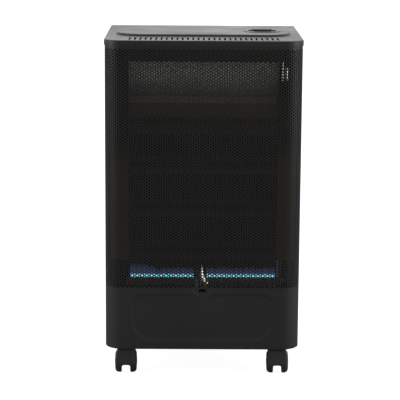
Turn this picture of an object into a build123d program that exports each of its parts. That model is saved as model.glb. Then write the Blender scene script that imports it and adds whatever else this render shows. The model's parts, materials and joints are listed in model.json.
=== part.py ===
from build123d import *

import os

# A portable gas cabinet heater: a sheet-steel cabinet on four twin-wheel castors, with a perforated
# front that wraps round both front corners, a ribbon burner and baffles behind it, and a bay at the
# back for a gas cylinder behind a lift-off cover.
# Millimetres. X is to the right seen from the front, Y to the rear, Z up. The origin is on the floor,
# under the middle of the heater.

# ---- Whole cabinet
WIDTH = 420.0  # the lid, left to right
DEPTH = 400.0  # front of the lid to the back of the rear cover
HEIGHT = 730.0  # floor to the lid's border
COVER_BULGE = 40.0  # back of the lid to the back of the rear cover
GROUND_GAP = 65.0  # floor to the lower edge of the cabinet
SHEET = 1.0  # cabinet steel
SLIP = 0.2  # gap between sheets that nest
SEAM_DEPTH = 121.0  # front of the cabinet to the seam between grille and side panels

# ---- Lid
LID_SKIRT = 12.0
LID_GAP = 0.5  # lid skirt to cabinet
PLATEAU_RISE = 4.5  # the pressed middle of the lid
PLATEAU_MARGIN = 20.0  # plateau to the lid's sides
PLATEAU_SETBACK = 92.0  # front of the lid to the plateau; all setbacks start there
PLATEAU_BACK_MARGIN = 10.0
PLATEAU_RADIUS = 60.0
VENT_COUNT = 29
VENT_PITCH = 11.1
VENT_WIDTH = 5.5
VENT_LENGTH = 50.0
VENT_FRONT_MARGIN = 16.0  # front of the lid to the vents' outer ends

# ---- Perforated front panel
CORNER_RADIUS = 38.0
SEAM_FLANGE = 14.0
HEM = 4.0
PANEL_LOWER = 137.0  # plain strip below the holes
MESH_TOP_MARGIN = 16.0  # lid border to the uppermost hole
HOLE_PITCH = 56.7  # a coarser pattern than the punched sheet's 6.3, in the same proportions
HOLE_COLUMN = 46.35  # the punched sheet has 5.15
HOLE_WIDTH = 36.0
SIDE_HOLE_MARGIN = 16.0
DIMPLE_Z = 198.0
DIMPLE_RADIUS = 22.5
DIMPLE_DEPTH = 3.0
SIGHT_SLOT = (16.0, 6.0)
PRESSING_MARGIN = 56.5  # side of the cabinet to the pressed field; every margin starts there
PRESSING_BOTTOM = 17.5  # lower edge of the cabinet to the pressed field
PRESSING_TOP = 123.0
PRESSING_DEPTH = 2.0
PRESSING_RADIUS_LOW = 45.0
PRESSING_RADIUS_HIGH = 25.0

# ---- Side panels and their handle cups
REAR_FLANGE = 20.5
HANDLE_SETBACK = 190.0
HANDLE_DROP = 71.5  # lid border to the middle of the handle; every drop starts at the border
HANDLE_LENGTH = 104.0
HANDLE_HEIGHT = 37.0
HANDLE_DEPTH = 24.0
HANDLE_WALL = 1.5
HANDLE_RIM = 6.0
HANDLE_DRAFT = 8.0
CUP_FLANGE = 1.2
CUP_FIT = 0.3

# ---- Base tray
TRAY_SHEET = 1.2
TRAY_RIM = 15.0
TONGUE_LIP = 8.0
PLATFORM_SIDE_MARGIN = 68.5
PLATFORM_SETBACK = 88.0
PLATFORM_RISE = 2.3
PLATFORM_CORNER = 40.0
PLATFORM_MARGIN = 12.4  # platform to the back of the tray

# ---- Rear cover
COVER_GAP = 0.3  # cover to side panels
COVER_MARGIN = 24.5  # to the part that bulges out over the cylinder
COVER_RADIUS = 30.0
COVER_DROP = 40.0
COVER_FLANGE = 21.0
COVER_FLANGE_DROP = 16.0
COVER_FLANGE_FOOT = 5.0  # lower edge of the cabinet to the flange
COVER_TRAY_GAP = 0.6
FINGER_SLOT = (92.0, 26.0)
FINGER_SLOT_DROP = 68.0
COVER_VENT_COUNT = 9
COVER_VENT_PITCH = 22.0
COVER_VENT = (6.0, 44.0)
COVER_VENT_Z = 128.0
HOOK_Z = 77.0
HOOK_WIDTH = 10.0
HOOK_REACH = 12.0
HOOK_PLAY = 0.6
STUD_DROP = 40.0
STUD_RADIUS = 4.0
STUD_REACH = 10.5
STUD_HEAD_RADIUS = 6.5
STUD_HEAD = 1.5
CLIP_GAP = 0.3
CLIP_HEIGHT = 14.0
CLIP_DEPTH = 11.5

# ---- Bulkhead and burner chamber
BULKHEAD_SETBACK = 73.0
BULKHEAD_MARGIN = 13.5
BULKHEAD_FOOT = 12.0
RAIL_MARGIN = 40.5
RAIL_SETBACK = 17.0
RAIL_DROP = 46.0
REAR_RAIL_DROP = 30.0
REAR_RAIL_DEPTH = 18.0
CHAMBER_MARGIN = 50.5
CHEEK_BOTTOM = 259.0
CHEEK_DROP = 41.0
CHEEK_FLANGE_MARGIN = 12.5
CHEEK_REAR_FLANGE = 17.0
CHEEK_WINDOW_DROP = 85.0  # opening in the right cheek's flange, beside the pipes
CHEEK_WINDOW_MARGIN = 46.5
PLATE = 0.8  # baffles
BAFFLE_SETBACK = 22.0
BAFFLE_RISE = 18.0
BAFFLE_BACK = 10.0
UPPER_BAFFLE_DROP = 201.0
UPPER_BAFFLE_LIP = 22.0
LOWER_BAFFLE_LIP = 15.0
LOWER_BAFFLE_DROP = 286.0
LOWER_BAFFLE_COUNT = 3
DEFLECTOR_DROP = 43.0
DEFLECTOR_SETBACK = 35.0
DEFLECTOR_BEND_DROP = 126.0
DEFLECTOR_FOOT_DROP = 140.0
SHELF_Z = 180.0
SHELF_MARGIN = 18.5
SHELF_SETBACK = 12.0
SHELF_LIP = 10.0
SHELF_REAR_FLANGE = 15.0
AIR_SLOT = (44.0, 14.0)
AIR_SLOT_PITCH = 72.0

# ---- Burner, pilot and gas train
BURNER_SETBACK = 40.0
BURNER_Z = 208.0
BURNER_MARGIN = 46.5
BURNER_DEPTH = 20.0
BURNER_HEIGHT = 16.0
BURNER_WALL = 1.2
BURNER_CORNER = 1.0
FLAME_PITCH = 22.0
FLAME_SLOT = (14.0, 14.0)
FLAME_FIRST = 21.0
BRACKET_MARGIN = 88.5
BRACKET_WIDTH = 18.0
BRACKET_DEPTH = 16.0
INJECTOR_RADIUS = 5.0
INJECTOR_TIP_RADIUS = 3.0
INJECTOR_TIP = 8.0
INJECTOR_LENGTH = 18.0
BURNER_INLET_RADIUS = 7.0
PILOT_SETBACK = 22.0
PILOT_TAB_Z = 196.0
PILOT_TAB_HALF_WIDTH = 18.0
PILOT_TAB_REACH = 6.0
PILOT_WALL = 7.0
PILOT_FOOT = 9.0
PILOT_X = 7.0
PILOT_RADIUS = 4.0
PILOT_JET = 8.0
PILOT_JET_RADIUS = 3.0
THERMOCOUPLE_X = -3.0
THERMOCOUPLE_RADIUS = 2.2
THERMOCOUPLE_TOP = 240.0
ELECTRODE_X = -12.5
ELECTRODE_RADIUS = 3.0
ELECTRODE_WIRE = 0.9
ELECTRODE_TOP = 236.0
ELECTRODE_TIP = 18.0
KNOB_MARGIN = 80.0
KNOB_SETBACK = 178.0
VALVE_SIZE = (46.0, 40.0, 50.0)
VALVE_DROP = 30.0
BONNET_RADIUS = 11.0
BONNET_HEIGHT = 12.0
BONNET_SIDES = 8
VALVE_FLOOR_GAP = 1.0
VALVE_PLATE_MARGINS = (110.5, 37.5)  # left, right
VALVE_PLATE_REACH = 38.0  # behind the knob
VALVE_PLATE_FLANGE = 12.0
NOZZLE_RADIUS = 4.0
NOZZLE_LENGTH = 24.0
NOZZLE_BORE = 2.5
NOZZLE_DEPTH = 25.0  # below the top of the valve; all depths start there
NOZZLE_HEX_RADIUS = 8.0
NOZZLE_HEX = 7.0
MAIN_PIPE_RADIUS = 4.0
MAIN_PIPE_MARGIN = 34.5
MAIN_PIPE_LOW_MARGIN = 23.5
MAIN_PIPE_DEPTH = 32.0
MAIN_PIPE_JOG = 20.0
PILOT_PIPE_RADIUS = 2.5
PILOT_PIPE_MARGIN = 43.5
PILOT_PIPE_SHIFT = 12.0
PILOT_PIPE_DEPTH = 16.0
PILOT_PIPE_LOW_Z = 190.0
NUT_RADIUS = 7.0
PILOT_NUT_RADIUS = 5.5
NUT_LENGTH = 8.0
NUT_BORE_GAP = 0.6
COUPLE_LEAD_RADIUS = 1.25
COUPLE_LEAD_MARGIN = 38.5
COUPLE_LEAD_SHIFT = 12.0
COUPLE_LEAD_GAP = 14.0  # in front of the bulkhead
COUPLE_LEAD_DEPTH = 44.0
COUPLE_LEAD_LOW_Z = 186.0
COUPLE_LEAD_LOOP = 12.0
SPARK_LEAD_RADIUS = 1.5
SPARK_LEAD_GAP = 21.0
SPARK_LEAD_DEPTH = 52.0
SPARK_LEAD_LOW_Z = 193.0
SPARK_LEAD_LOOP = 20.0
PIEZO_RADIUS = 8.0
PIEZO_LENGTH = 44.0
PIPE_HOLE_GAP = 1.0
PIPE_SIDES = 6  # the pipes and leads are round, and are kept to a few faces
LEAD_SIDES = 4
MAIN_PIPE_BEND = 7.0
PILOT_PIPE_BEND = 5.0
LEAD_BEND = 5.0
GRILLE_BRACKET_SETBACK = 108.0
GRILLE_BRACKET_FLANGE = 9.0
GRILLE_BRACKET_FOOT_DROP = 90.0
GRILLE_BRACKET_DROPS = (53.0, 18.0)  # left, right

# ---- Knob, its spindle and its bezel
BEZEL_RADIUS = 41.0
BEZEL_HOLE = 38.0
BEZEL_FLANGE = 1.2
BEZEL_WALL = 1.5
BEZEL_FLOOR_DROP = 11.0
BEZEL_THROAT = 7.0
KNOB_RADIUS = 26.5
KNOB_TRAVEL = 4.0
KNOB_DROP = 5.0
KNOB_DISC = 8.0
KNOB_GRIP = (47.0, 12.0, 6.0)
GRIP_TAPER = 12.0
KNOB_HUB_RADIUS = 6.0
SPINDLE_RADIUS = 3.0
SPINDLE_DROPS = (35.0, 1.0)  # foot, top
SOCKET_FIT = 0.02
SLEEVE_RADIUS = 6.0
SLEEVE_DROPS = (28.0, 12.0)
SLEEVE_GAP = 0.3
RUNNING_FIT = 0.05

# ---- Castors
CASTOR_MARGIN = 43.5
CASTOR_SETBACK = 32.0
CASTOR_REAR_GAP = 42.0  # back of the lid to the rear castors
TRAIL = 18.0
WHEEL_RADIUS = 25.0
WHEEL_TREAD = 10.4
WHEEL_WIDTH = 14.4
WEB_HALF_WIDTH = 9.0
WEB_GAP = 0.6
WHEEL_DOME = 60.0
WHEEL_SIDES = 36  # wheels, hoods and their bearings are round; they repeat, so they get few faces
HOOD_SIDES = 24
BEARING_SIDES = 12
WHEEL_WELL = 26.5
WELL_SIDES = 14
HOOD_RADIUS = 28.5
HOOD_HALF_WIDTH = 20.9
HOOD_TOP = 60.0
HOOD_FRONT_EDGE = 25.0
HOOD_REAR_EDGE = 42.0
STAY_GAP = 4.0
NOSE_RADIUS = 12.0
NOSE_CORNER = 4.0
AXLE_BOSS = 8.0
AXLE_RADIUS = 3.0
AXLE_SHORT = 0.5
PIN_RADIUS = 4.0
PIN_BOTTOM = 38.0
CASTOR_PLATE = (44.0, 2.5)

# ---- Places worked out from the sizes above
FRONT = -DEPTH / 2
BACK = DEPTH / 2
LID_BACK = BACK - COVER_BULGE
LID_UNDER = HEIGHT - SHEET
SKIRT_BOTTOM = HEIGHT - LID_SKIRT
PLATEAU_TOP = HEIGHT + PLATEAU_RISE
PLATEAU_HALF_WIDTH = WIDTH / 2 - PLATEAU_MARGIN
PLATEAU_FRONT = FRONT + PLATEAU_SETBACK
PLATEAU_BACK = LID_BACK - PLATEAU_BACK_MARGIN
HALF_WIDTH = WIDTH / 2 - SHEET - LID_GAP  # the cabinet inside the lid's skirt
CABINET_FRONT = FRONT + SHEET + LID_GAP
CABINET_BACK = LID_BACK - SHEET - LID_GAP
LID_RADIUS = CORNER_RADIUS + SHEET + LID_GAP
SEAM = CABINET_FRONT + SEAM_DEPTH
MESH_BOTTOM = GROUND_GAP + PANEL_LOWER
MESH_TOP = HEIGHT - MESH_TOP_MARGIN
PRESSING_HALF_WIDTH = HALF_WIDTH - PRESSING_MARGIN
HANDLE_Y = FRONT + HANDLE_SETBACK
HANDLE_Z = HEIGHT - HANDLE_DROP
COVER_HALF_WIDTH = HALF_WIDTH - COVER_MARGIN
COVER_FRONT = CABINET_BACK + COVER_GAP
COVER_TOP = HEIGHT - COVER_DROP
COVER_FLANGE_TOP = HEIGHT - COVER_FLANGE_DROP
FINGER_SLOT_Z = HEIGHT - FINGER_SLOT_DROP
STUD_X = HALF_WIDTH - SHEET - REAR_FLANGE / 2
STUD_Z = HEIGHT - STUD_DROP
HOOK_X = STUD_X
TRAY_Z = GROUND_GAP + SHEET
TRAY_TOP = TRAY_Z + TRAY_SHEET
RIM_TOP = TRAY_Z + TRAY_RIM
TRAY_INSET = SHEET + SLIP
TRAY_BACK = CABINET_BACK - SHEET
TONGUE_HALF_WIDTH = COVER_HALF_WIDTH - SHEET - COVER_TRAY_GAP
TONGUE_BACK = BACK - SHEET - COVER_TRAY_GAP
TONGUE_RADIUS = COVER_RADIUS - SHEET - COVER_TRAY_GAP
PLATFORM_HALF_WIDTH = HALF_WIDTH - PLATFORM_SIDE_MARGIN
PLATFORM_FRONT = FRONT + PLATFORM_SETBACK
PLATFORM_BACK = TONGUE_BACK - PLATFORM_MARGIN
BULKHEAD_Y = FRONT + BULKHEAD_SETBACK
BULKHEAD_HALF_WIDTH = HALF_WIDTH - BULKHEAD_MARGIN
GRILLE_BRACKET_Y = FRONT + GRILLE_BRACKET_SETBACK
RAIL_HALF_WIDTH = HALF_WIDTH - RAIL_MARGIN
RAIL_Y = FRONT + RAIL_SETBACK
RAIL_BOTTOM = HEIGHT - RAIL_DROP
REAR_RAIL_BOTTOM = HEIGHT - REAR_RAIL_DROP
CHAMBER_HALF_WIDTH = HALF_WIDTH - CHAMBER_MARGIN
CHEEK_TOP = HEIGHT - CHEEK_DROP
CHEEK_FLANGE_TIP = HALF_WIDTH - CHEEK_FLANGE_MARGIN
CHEEK_WINDOW_BOTTOM = HEIGHT - CHEEK_WINDOW_DROP
CHEEK_WINDOW_EDGE = HALF_WIDTH - CHEEK_WINDOW_MARGIN
BAFFLE_LIP_Y = FRONT + BAFFLE_SETBACK
UPPER_BAFFLE_Z = HEIGHT - UPPER_BAFFLE_DROP
LOWER_BAFFLE_Z = HEIGHT - LOWER_BAFFLE_DROP
LOWER_BAFFLE_PITCH = (LOWER_BAFFLE_Z - CHEEK_BOTTOM) / (LOWER_BAFFLE_COUNT - 1)
DEFLECTOR_FOOT = HEIGHT - DEFLECTOR_FOOT_DROP
DEFLECTOR_BEND = HEIGHT - DEFLECTOR_BEND_DROP
DEFLECTOR_TOP = (FRONT + DEFLECTOR_SETBACK, HEIGHT - DEFLECTOR_DROP)
SHELF_HALF_WIDTH = HALF_WIDTH - SHELF_MARGIN
SHELF_FRONT = FRONT + SHELF_SETBACK
BURNER_Y = FRONT + BURNER_SETBACK
BURNER_HALF_LENGTH = HALF_WIDTH - BURNER_MARGIN
BURNER_UNDER = BURNER_Z - BURNER_HEIGHT / 2
BURNER_INSIDE = BURNER_HALF_LENGTH - BURNER_WALL
FLAME_COUNT = int((BURNER_INSIDE - FLAME_FIRST - FLAME_SLOT[0] / 2) / FLAME_PITCH) + 1
BRACKET_X = HALF_WIDTH - BRACKET_MARGIN
INJECTOR_END = BURNER_HALF_LENGTH - INJECTOR_TIP / 2 + INJECTOR_LENGTH
PILOT_Y = FRONT + PILOT_SETBACK
KNOB_X = HALF_WIDTH - KNOB_MARGIN
KNOB_Y = FRONT + KNOB_SETBACK
KNOB_BOTTOM = HEIGHT - KNOB_DROP
BEZEL_FLOOR_Z = HEIGHT - BEZEL_FLOOR_DROP
SPINDLE_BOTTOM, SPINDLE_TOP = [HEIGHT - drop for drop in SPINDLE_DROPS]
SLEEVE_BOTTOM, SLEEVE_TOP = [HEIGHT - drop for drop in SLEEVE_DROPS]
VALVE_TOP = HEIGHT - VALVE_DROP
VALVE_BOTTOM = VALVE_TOP - VALVE_SIZE[2]
VALVE_RIGHT = KNOB_X + VALVE_SIZE[0] / 2
VALVE_BACK = KNOB_Y + VALVE_SIZE[1] / 2
VALVE_PLATE_LEFT, VALVE_PLATE_RIGHT = [HALF_WIDTH - margin for margin in VALVE_PLATE_MARGINS]
BONNET_TOP = VALVE_TOP + BONNET_HEIGHT
NOZZLE_Z = VALVE_TOP - NOZZLE_DEPTH
MAIN_PIPE_X = HALF_WIDTH - MAIN_PIPE_MARGIN
MAIN_PIPE_LOW_X = HALF_WIDTH - MAIN_PIPE_LOW_MARGIN
MAIN_PIPE_Z = VALVE_TOP - MAIN_PIPE_DEPTH
PILOT_PIPE_X = HALF_WIDTH - PILOT_PIPE_MARGIN
PILOT_PIPE_Y = KNOB_Y - PILOT_PIPE_SHIFT
PILOT_PIPE_Z = VALVE_TOP - PILOT_PIPE_DEPTH
COUPLE_LEAD_X = HALF_WIDTH - COUPLE_LEAD_MARGIN
COUPLE_LEAD_Y = BULKHEAD_Y - COUPLE_LEAD_GAP
COUPLE_LEAD_Z = VALVE_TOP - COUPLE_LEAD_DEPTH
SPARK_LEAD_Y = BULKHEAD_Y - SPARK_LEAD_GAP
SPARK_LEAD_Z = VALVE_TOP - SPARK_LEAD_DEPTH
PIEZO_X = CHAMBER_HALF_WIDTH + SHEET + SPARK_LEAD_RADIUS + PIPE_HOLE_GAP
PIEZO_Y = VALVE_BACK + PIEZO_RADIUS
WHEEL_INNER = WEB_HALF_WIDTH + WEB_GAP
CASTOR_X = HALF_WIDTH - CASTOR_MARGIN
CASTOR_FRONT_Y = FRONT + CASTOR_SETBACK
CASTOR_REAR_Y = LID_BACK - CASTOR_REAR_GAP
CASTORS = {
    "front_left": (-CASTOR_X, CASTOR_FRONT_Y),
    "front_right": (CASTOR_X, CASTOR_FRONT_Y),
    "rear_left": (-CASTOR_X, CASTOR_REAR_Y),
    "rear_right": (CASTOR_X, CASTOR_REAR_Y),
}


# ---- Shapes that the pieces share
def block(x_range, y_range, z_range):
    """Box between two corners, given as a low and high value on each axis."""
    size = [high - low for low, high in (x_range, y_range, z_range)]
    middle = [(high + low) / 2 for low, high in (x_range, y_range, z_range)]
    return Pos(*middle) * Box(*size)


def slab(face, bottom, top):
    """A face in plan, raised from one height to another."""
    return Pos(0, 0, bottom) * extrude(face, amount=top - bottom)


def plan(half_width, front, back, front_radius=0.0, back_radius=0.0):
    """Rectangle in plan with rounded front and back corners."""
    face = Pos(0, (front + back) / 2) * Rectangle(2 * half_width, back - front)
    if front_radius > 0:
        face = fillet(face.vertices().sort_by(Axis.Y)[:2], front_radius)
    if back_radius > 0:
        face = fillet(face.vertices().sort_by(Axis.Y)[-2:], back_radius)
    return face


def fold(points, thickness):
    """Section of a folded sheet: one face follows the points, the other lies to their left."""
    line = [Vector(*point) for point in points]
    normals = [Vector(a.Y - b.Y, b.X - a.X).normalized() for a, b in zip(line, line[1:])]
    other = []
    for before, point, after in zip([normals[0]] + normals, line, normals + [normals[-1]]):
        other.append(point + (before + after) * (thickness / (1 + before.dot(after))))
    return Polygon(*[(p.X, p.Y) for p in line + other[::-1]], align=None)


def across(section, half_length):
    """A section in Y and Z, drawn out to both sides along X."""
    return extrude(Plane.YZ * section, amount=half_length, both=True)


def turned(*points):
    """Solid of revolution about Z, from an outline of radius and height."""
    return revolve(Plane.XZ * Polygon(*points, align=None), Axis.Z)


def rod(radius, start, end):
    """Round bar between two points."""
    path = Line(start, end)
    return extrude(Plane(start, z_dir=path % 0) * Circle(radius), amount=path.length)


def hexagon(radius, start, end):
    """Hexagonal bar between two points, its radius taken at the corners."""
    path = Line(start, end)
    return extrude(Plane(start, z_dir=path % 0) * RegularPolygon(radius, 6), amount=path.length)


def bent_rod(radius, points, bend, sides):
    """Pipe or lead along straight runs, with a short run across each corner."""
    corners = [Vector(*point) for point in points]
    route = [corners[0]]
    for before, corner, after in zip(corners, corners[1:], corners[2:]):
        route.append(corner + (before - corner).normalized() * bend)
        route.append(corner + (after - corner).normalized() * bend)
    path = Polyline(*route, corners[-1])
    section = Plane(path @ 0, z_dir=path % 0) * RegularPolygon(radius, sides)
    return sweep(section, path, transition=Transition.RIGHT)


def both_sides(right):
    """The piece on the right and its mirror image on the left, as one group."""
    return [right, mirror(right, Plane.YZ)]


# ---- Lid and its controls
def lid():
    """Pressed lid: skirt, border, raised plateau, vent slots and the hole for the bezel."""
    skin = slab(plan(WIDTH / 2, FRONT, LID_BACK, LID_RADIUS), SKIRT_BOTTOM, HEIGHT)
    hollow = plan(WIDTH / 2 - SHEET, FRONT + SHEET, LID_BACK - SHEET, LID_RADIUS - SHEET)
    skin -= slab(hollow, SKIRT_BOTTOM, LID_UNDER)
    skin += plateau(0, HEIGHT)
    skin -= plateau(SHEET, LID_UNDER)
    vent_y = FRONT + VENT_FRONT_MARGIN + VENT_LENGTH / 2
    slots = GridLocations(VENT_PITCH, 1, VENT_COUNT, 1) * Box(VENT_WIDTH, VENT_LENGTH, 4 * SHEET)
    skin -= [Pos(0, vent_y, HEIGHT) * slot for slot in slots]
    skin -= Pos(KNOB_X, KNOB_Y, HEIGHT) * Cylinder(BEZEL_HOLE, 4 * PLATEAU_RISE)
    return skin


def plateau(inset, bottom):
    """The raised field of the lid, with sides at 45 degrees, or the hollow under it."""
    face = plan(
        PLATEAU_HALF_WIDTH - inset,
        PLATEAU_FRONT + inset,
        PLATEAU_BACK - inset,
        PLATEAU_RADIUS - inset,
    )
    return Pos(0, 0, bottom) * extrude(face, amount=PLATEAU_RISE, taper=45)


def control_bezel():
    """Moulded dish round the knob, dropped into the lid."""
    outer = BEZEL_HOLE - SLIP
    inner = outer - BEZEL_WALL
    floor_top = BEZEL_FLOOR_Z + BEZEL_WALL
    top = PLATEAU_TOP + BEZEL_FLANGE
    dish = turned(
        (BEZEL_THROAT, BEZEL_FLOOR_Z),
        (outer, BEZEL_FLOOR_Z),
        (outer, PLATEAU_TOP),
        (BEZEL_RADIUS, PLATEAU_TOP),
        (inner, top),
        (inner, floor_top),
        (BEZEL_THROAT, floor_top),
    )
    return Pos(KNOB_X, KNOB_Y) * dish


def control_knob():
    """Low round knob with a raised grip bar, and a hub with a socket for the spindle."""
    disc_top = KNOB_BOTTOM + KNOB_DISC
    knob = slab(Circle(KNOB_RADIUS), KNOB_BOTTOM, disc_top)
    knob += slab(Circle(KNOB_HUB_RADIUS), SLEEVE_TOP + SLEEVE_GAP, KNOB_BOTTOM)
    knob -= slab(Rectangle(2 * SPINDLE_RADIUS, 2 * SPINDLE_RADIUS), SLEEVE_TOP, SPINDLE_TOP)
    length, width, height = KNOB_GRIP
    grip = extrude(Rectangle(length, width), amount=height, taper=GRIP_TAPER)
    knob += Pos(0, 0, disc_top) * grip
    return Pos(KNOB_X, KNOB_Y) * knob


def valve_spindle():
    """Spindle that carries the knob down into the valve."""
    return Pos(KNOB_X, KNOB_Y) * slab(Circle(SPINDLE_RADIUS - SOCKET_FIT), SPINDLE_BOTTOM, SPINDLE_TOP)


def plunger_sleeve():
    """Sleeve in the valve's bonnet that the knob pushes down to open the pilot gas."""
    sleeve = turned(
        (SPINDLE_RADIUS + RUNNING_FIT, SLEEVE_BOTTOM),
        (SLEEVE_RADIUS, SLEEVE_BOTTOM),
        (SLEEVE_RADIUS, SLEEVE_TOP),
        (SPINDLE_RADIUS + RUNNING_FIT, SLEEVE_TOP),
    )
    return Pos(KNOB_X, KNOB_Y) * sleeve


# ---- Cabinet
def front_grille():
    """Front sheet: holes over the chamber, a plain pressed field below, round both corners."""
    section = plan(HALF_WIDTH, CABINET_FRONT, SEAM, CORNER_RADIUS)
    inside = plan(HALF_WIDTH - SHEET, CABINET_FRONT + SHEET, SEAM - SHEET, CORNER_RADIUS - SHEET)
    mouth = plan(HALF_WIDTH - SEAM_FLANGE, SEAM - 2 * SHEET, SEAM)
    sheet = slab(section - inside - mouth, GROUND_GAP, LID_UNDER)
    hem = section - plan(HALF_WIDTH - HEM, CABINET_FRONT + HEM, SEAM, CORNER_RADIUS - HEM)
    sheet -= tray_notch(SEAM - SHEET, SEAM)
    sheet += slab(hem, GROUND_GAP, TRAY_Z)
    sheet = press(sheet, pressed_field, PRESSING_DEPTH)
    sheet = press(sheet, dimple, DIMPLE_DEPTH)
    slot = Pos(0, CABINET_FRONT, DIMPLE_Z - SIGHT_SLOT[1] / 2) * Box(
        SIGHT_SLOT[0], 4 * DIMPLE_DEPTH, SIGHT_SLOT[1]
    )
    return sheet - slot - front_holes() - side_holes()


def tray_notch(front, back):
    """Clearance in both end flanges for the tray and its rim."""
    return both_sides(
        block((HALF_WIDTH - 2 * SEAM_FLANGE, HALF_WIDTH - SHEET), (front, back), (TRAY_Z, RIM_TOP + SLIP))
    )


def press(sheet, outline, depth):
    """Sinks a field of the front sheet by a depth, keeping the sheet's thickness."""
    front = Plane.XZ.offset(-CABINET_FRONT)
    backing = extrude(front * outline(0), amount=-(depth + SHEET))
    sunk = extrude(front * outline(SHEET), amount=-depth)
    return sheet + backing - sunk


def pressed_field(inset):
    """Outline of the wide field pressed into the plain strip."""
    low = GROUND_GAP + PRESSING_BOTTOM + inset
    high = GROUND_GAP + PRESSING_TOP - inset
    return plan(
        PRESSING_HALF_WIDTH - inset,
        low,
        high,
        PRESSING_RADIUS_LOW - inset,
        PRESSING_RADIUS_HIGH - inset,
    )


def dimple(inset):
    """Outline of the round dimple round the sight slot."""
    return Pos(0, DIMPLE_Z) * Circle(DIMPLE_RADIUS - inset)


def hole_heights(column):
    """Heights of the holes in one column; every other column is shifted by half a pitch."""
    clear = HOLE_WIDTH / 2 + SHEET
    height = MESH_TOP - clear - (column % 2) * HOLE_PITCH / 2
    heights = []
    while height > MESH_BOTTOM + clear:
        heights.append(height)
        height -= HOLE_PITCH
    return heights


def front_holes():
    """Staggered holes over the flat of the front, clear of the dimple."""
    side = int((HALF_WIDTH - CORNER_RADIUS - HOLE_WIDTH / 2) / HOLE_COLUMN)
    punch = extrude(Plane.XZ * RegularPolygon(HOLE_WIDTH / 2, 6), amount=SHEET, both=True)
    clear = DIMPLE_RADIUS + HOLE_WIDTH / 2
    return [
        Pos(column * HOLE_COLUMN, CABINET_FRONT, z) * punch
        for column in range(-side, side + 1)
        for z in hole_heights(column)
        if Vector(column * HOLE_COLUMN, z - DIMPLE_Z).length > clear
    ]


def side_holes():
    """The same holes in the two returns that run back to the seam."""
    first = CABINET_FRONT + CORNER_RADIUS + HOLE_WIDTH / 2
    last = SEAM - SIDE_HOLE_MARGIN - HOLE_WIDTH / 2
    count = int((last - first) / HOLE_COLUMN) + 1
    punch = extrude(Plane.YZ * RegularPolygon(HOLE_WIDTH / 2, 6), amount=SHEET, both=True)
    return [
        Pos(side * HALF_WIDTH, last - column * HOLE_COLUMN, z) * punch
        for side in (-1, 1)
        for column in range(count)
        for z in hole_heights(column)
    ]


def side_panel():
    """Right side panel: flanges at the seam, the rear and the foot, and the handle's window."""
    section = fold(
        [
            (HALF_WIDTH - SEAM_FLANGE, SEAM),
            (HALF_WIDTH, SEAM),
            (HALF_WIDTH, CABINET_BACK),
            (HALF_WIDTH - REAR_FLANGE, CABINET_BACK),
        ],
        SHEET,
    )
    panel = slab(section, GROUND_GAP, LID_UNDER)
    panel -= tray_notch(SEAM, SEAM + SHEET)
    panel += block((HALF_WIDTH - HEM, HALF_WIDTH), (SEAM, CABINET_BACK), (GROUND_GAP, TRAY_Z))
    panel -= cup_body(CUP_FIT)
    panel -= hook_slot()
    stud_hole = 2 * (STUD_RADIUS + CLIP_GAP)
    panel -= Pos(STUD_X, CABINET_BACK, STUD_Z) * Box(stud_hole, 4 * SHEET, stud_hole)
    return panel


def cup_body(grow):
    """Outside of the handle cup, or the window that it drops into."""
    face = Rectangle(HANDLE_LENGTH + 2 * grow, HANDLE_HEIGHT + 2 * grow)
    depth = HANDLE_DEPTH + grow
    return Pos(HALF_WIDTH, HANDLE_Y, HANDLE_Z) * extrude(Plane.YZ * face, amount=-depth)


def handle_cup():
    """Right handle cup: a moulded pocket with a thin rim outside the panel."""
    rim = Rectangle(HANDLE_LENGTH + 2 * HANDLE_RIM, HANDLE_HEIGHT + 2 * HANDLE_RIM)
    inside = Rectangle(HANDLE_LENGTH - 2 * HANDLE_WALL, HANDLE_HEIGHT - 2 * HANDLE_WALL)
    place = Pos(HALF_WIDTH, HANDLE_Y, HANDLE_Z)
    cup = cup_body(0) + place * extrude(Plane.YZ * rim, amount=CUP_FLANGE)
    pocket = Pos(CUP_FLANGE, 0, 0) * extrude(
        Plane.YZ * inside, amount=-(HANDLE_DEPTH + CUP_FLANGE - HANDLE_WALL), taper=HANDLE_DRAFT
    )
    return cup - place * pocket


def tray_plan(inset):
    """The tray in plan, with its tongue under the rear cover."""
    main = plan(
        HALF_WIDTH - TRAY_INSET - inset,
        CABINET_FRONT + TRAY_INSET + inset,
        TRAY_BACK - inset,
        CORNER_RADIUS - TRAY_INSET - inset,
    )
    tongue = plan(TONGUE_HALF_WIDTH - inset, 0, TONGUE_BACK - inset, 0, TONGUE_RADIUS - inset)
    return main + tongue


def base_tray():
    """Tray with a folded rim, a low rear lip and a raised platform for the cylinder."""
    tray = slab(tray_plan(0), TRAY_Z, RIM_TOP) - slab(tray_plan(TRAY_SHEET), TRAY_TOP, RIM_TOP)
    lip_top = TRAY_Z + TONGUE_LIP
    tray -= block((-WIDTH, WIDTH), (TRAY_BACK, BACK), (lip_top, RIM_TOP))
    tray -= block(
        (-TONGUE_HALF_WIDTH + TRAY_SHEET, TONGUE_HALF_WIDTH - TRAY_SHEET),
        (TRAY_BACK - 2 * TRAY_SHEET, TRAY_BACK),
        (TRAY_TOP, RIM_TOP),
    )
    tray += platform(0, TRAY_TOP)
    tray -= platform(TRAY_SHEET, TRAY_Z)
    tray -= hook_slot() + [mirror(slot, Plane.YZ) for slot in hook_slot()]
    return tray


def platform(inset, bottom):
    """The raised field that the cylinder stands on, or the hollow under it."""
    face = plan(PLATFORM_HALF_WIDTH - inset, PLATFORM_FRONT + inset, PLATFORM_BACK - inset)
    face = chamfer(face.vertices(), PLATFORM_CORNER)
    return slab(face, bottom, bottom + PLATFORM_RISE)


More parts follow.
